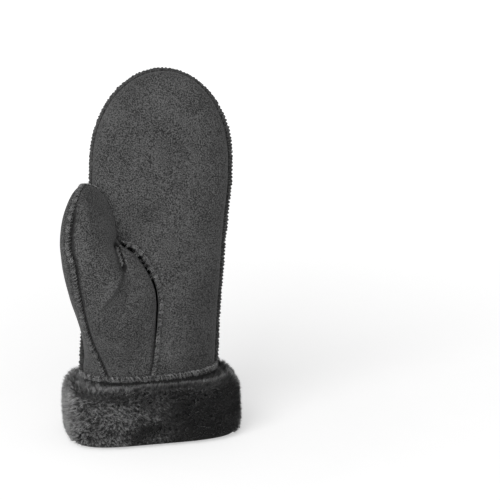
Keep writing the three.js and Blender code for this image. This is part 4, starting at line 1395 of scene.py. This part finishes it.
def pile(turn_range, around_range, lock_count, per_lock, length, radius, seed, lay=0.3, ends=0.0):
    """Hairs in locks: each hair's tip is drawn part of the way to its lock's tip.

    Whole patches lean one way, by lay. Near the floor the locks are shorter and lean down, and at the cuff's
    ends they are longer by the share ends. Each lock's tips are painted paler by the painted light of its
    place, more or less by its patch and by the chance of its brushing."""
    rng = np.random.default_rng(seed)
    hair_count = lock_count * per_lock
    lock_around = rng.uniform(*around_range, lock_count)
    lock_turn = rng.uniform(*turn_range, lock_count)
    around = np.mod(np.repeat(lock_around, per_lock) + rng.normal(0, LOCK_SPREAD / PERIMETER, hair_count), 1)
    turn = np.repeat(lock_turn, per_lock) + rng.normal(0, LOCK_SPREAD / SECTION_LENGTH, hair_count)
    turn = np.clip(turn, 0.002, 0.998)
    lock_around = np.mod(lock_around, 1)
    lock_root, lock_normal = cuff_roots(lock_around, lock_turn)
    root, normal = cuff_roots(around, turn)
    rows, columns = PATCHES.shape
    patches = PATCHES[(lock_around * rows).astype(int) % rows, (lock_turn * columns).astype(int) % columns]

    tangent = unit(np.cross([[0.0, 0.0, 1.0]], lock_normal))
    lean = tangent * (patches * lay)[:, None] + rng.normal(0, 0.15, (lock_count, 3))
    lean[:, 2] = mix(lean[:, 2], FLOOR_LEAN, step(FLOOR_LEAN_TOP - lock_root[:, 2], 0, FLOOR_LEAN_TOP))
    endwards = np.abs(np.cos(around_angle(lock_around)))
    lock_size = rng.normal(1, 0.1, lock_count) * (1 + ends * step(endwards, 0.7, 0.97))
    lock_size = lock_size * mix(FLOOR_SIZE, 1, step(lock_root[:, 2], 0, FLOOR_SIZE_TOP))

    lock_tip = lock_root + unit(lock_normal + lean) * (length * lock_size)[:, None]
    own_way = unit(normal + np.repeat(lean, per_lock, axis=0) + rng.normal(0, 0.16, root.shape))
    own_length = length * np.repeat(lock_size, per_lock) * rng.normal(1, 0.1, len(root))
    own_tip = root + own_way * own_length[:, None]
    tip = mix(own_tip, np.repeat(lock_tip, per_lock, axis=0), LOCK_GATHER)
    tip[:, 2] = np.maximum(tip[:, 2], 0.15 + 0.35 * rng.random(len(tip)))
    root = root - normal * 0.6
    root[:, 2] = np.maximum(root[:, 2], 0.5)

    lot = np.clip(np.repeat(rng.random(lock_count), per_lock) * 0.6 + rng.random(len(root)) * 0.4, 0, 1)
    share = lit_side_share(lock_root)
    share = share * (1 + 0.5 * patches) * rng.choice(BRUSHINGS, lock_count, p=BRUSH_CHANCES)
    share = np.repeat(share, per_lock) * rng.normal(1, 0.2, len(root))
    lit_and_brushed = np.repeat(np.clip(share, 0, 1.3), HAIR_POINTS)
    return *hairs(root, tip, radius * rng.uniform(0.75, 1.2, len(root)), lot), lit_and_brushed


def pile_piece(name, *parts):
    """Locks of hair as one piece, with how much paler each is painted for painted light and brushing."""
    points, faces, along, lot, lit_and_brushed = joined(parts)
    values = {"along": along, "lot": lot, "lit_and_brushed": lit_and_brushed}
    return new_piece(name, to_part(points), faces, [PLUSH], values=values)


FACE_TURNS, HALF = (RIM_TURN, FOOT_TURN), 0.5
RIM_TURNS = (mix(FLAT_TURN, RIM_TURN, 0.3), mix(FLAT_TURN, RIM_TURN, 1.05))
pile_piece("cuff_pile_front", pile(FACE_TURNS, (HALF, 1.0), 7000, 7, length=5.0, radius=0.18, seed=81))
pile_piece("cuff_pile_back", pile(FACE_TURNS, (0.0, HALF), 7000, 7, length=5.0, radius=0.18, seed=82))
pile_piece("cuff_pile_mouth",
           pile((0.0, FLAT_TURN), (0.0, 1.0), 600, 8, length=4.0, radius=0.2, seed=83, lay=0.1),
           pile(RIM_TURNS, (0.0, 1.0), 1800, 7, length=3.9, radius=0.18, seed=84, ends=0.7))


# Floor, light and camera

def floor_piece(corners=64):
    """A flat disc of rings, wide enough to fill the view. The camera sees it glow, and more further off."""
    ring = np.array([0.0, 0.3, 1.0, 3.0, 12.0])
    turn = np.linspace(0, 2 * np.pi, corners, endpoint=False)
    x, y = ring[:, None] * np.cos(turn)[None, :], ring[:, None] * np.sin(turn)[None, :]
    points = xyz(x, y, 0.0).reshape(-1, 3)
    mesh = bpy.data.meshes.new("floor")
    mesh.from_pydata(points.tolist(), [], grid_faces(len(ring), corners, wrap=True)[:, ::-1].tolist())
    made = bpy.data.objects.new("floor", mesh)
    bpy.context.scene.collection.objects.link(made)
    weld(made)
    material, tree, shader, place = new_material("pale_floor", 0.8, 0.2)
    noise = add(tree, "ShaderNodeTexNoise", {"Vector": place, "Scale": 40.0, "Detail": 2.0})
    tree.links.new(blend_colour(tree, noise.outputs[0], grey(0.66), grey(0.68)), shader.inputs["Base Color"])
    away = add(tree, "ShaderNodeVectorMath", {0: place}, operation="LENGTH").outputs["Value"]
    lift = add(tree, "ShaderNodeMapRange", {0: away, 1: 0.15, 2: 1.2, 3: 0.47, 4: 0.88}).outputs[0]
    seen = add(tree, "ShaderNodeLightPath").outputs["Is Camera Ray"]
    shader.inputs["Emission Color"].default_value = grey(1.0)
    tree.links.new(maths(tree, "MULTIPLY", lift, seen), shader.inputs["Emission Strength"])
    mesh.materials.append(material)
    return made


def turn_to(thing, way):
    """Turns a light or the camera so that its -Z axis looks along way and its X axis stays level."""
    back = -unit(np.array(way, float))
    right = unit(np.cross([0.0, 0.0, 1.0], back))
    up = np.cross(back, right)
    thing.rotation_mode = "QUATERNION"
    thing.rotation_quaternion = Matrix(np.stack([right, up, back], axis=1).tolist()).to_quaternion()


def area_light(name, place, aim, size, watts):
    data = bpy.data.lights.new(name, "AREA")
    data.shape = "RECTANGLE"
    data.size, data.size_y = size
    data.energy = watts
    made = bpy.data.objects.new(name, data)
    bpy.context.scene.collection.objects.link(made)
    made.location = place
    turn_to(made, np.array(aim, float) - np.array(place, float))
    return made


def studio_world(lighting, seen_strength):
    """An even white world, with one strength as light and another as what the camera sees."""
    world = bpy.data.worlds.new("studio")
    world.use_nodes = True
    tree = world.node_tree
    sky = tree.nodes["Background"]
    sky.inputs[0].default_value = grey(1.0)
    seen = add(tree, "ShaderNodeLightPath").outputs["Is Camera Ray"]
    ranges = {0: seen, 1: 0.0, 2: 1.0, 3: lighting, 4: seen_strength}
    tree.links.new(add(tree, "ShaderNodeMapRange", ranges).outputs[0], sky.inputs[1])
    bpy.context.scene.world = world


floor_piece()
area_light("left_window", (-0.92, -1.0, 1.0), aim=(0, 0, 0.12), size=(1.1, 1.1), watts=18.0)
area_light("front_fill", (-0.2, -1.6, 0.5), aim=(0, 0, 0.12), size=(1.2, 1.2), watts=6.2)
area_light("top_panel", (-0.2, -0.3, 1.5), aim=(0, 0, 0.1), size=(1.0, 1.0), watts=1)
studio_world(lighting=0.38, seen_strength=1.0)
bpy.context.scene.view_settings.view_transform = "Standard"

# The photograph's view: its angles, the distance and focal length in metres and pixels, and where on the
# picture the aimed point lies
AZIMUTH, ELEVATION = np.radians(-13.5), np.radians(15.0)
DISTANCE, FOCUS = 1.2, 1690.0
AIM = np.array([0.0, 0.0, 0.135])
AIM_PIXEL = (149.3, 251.3)
FRAME_SIZE, SENSOR = 500.0, 36.0


def photo_camera():
    """Looks along the photograph's angle, with the aimed point on its pixel and no shift."""
    level = np.cos(ELEVATION)
    back = np.array([np.sin(AZIMUTH) * level, -np.cos(AZIMUTH) * level, np.sin(ELEVATION)])
    right = np.array([np.cos(AZIMUTH), np.sin(AZIMUTH), 0.0])
    up = np.cross(right, -back)
    scale = DISTANCE / FOCUS
    off_x, off_y = (pixel - FRAME_SIZE / 2 for pixel in AIM_PIXEL)
    place = AIM + back * DISTANCE - right * off_x * scale + up * off_y * scale
    data = bpy.data.cameras.new("camera")
    data.sensor_width = SENSOR
    data.lens = SENSOR * FOCUS / FRAME_SIZE
    data.clip_start, data.clip_end = 0.05, 50
    made = bpy.data.objects.new("camera", data)
    bpy.context.scene.collection.objects.link(made)
    made.location = place
    turn_to(made, -back)
    bpy.context.scene.camera = made


photo_camera()
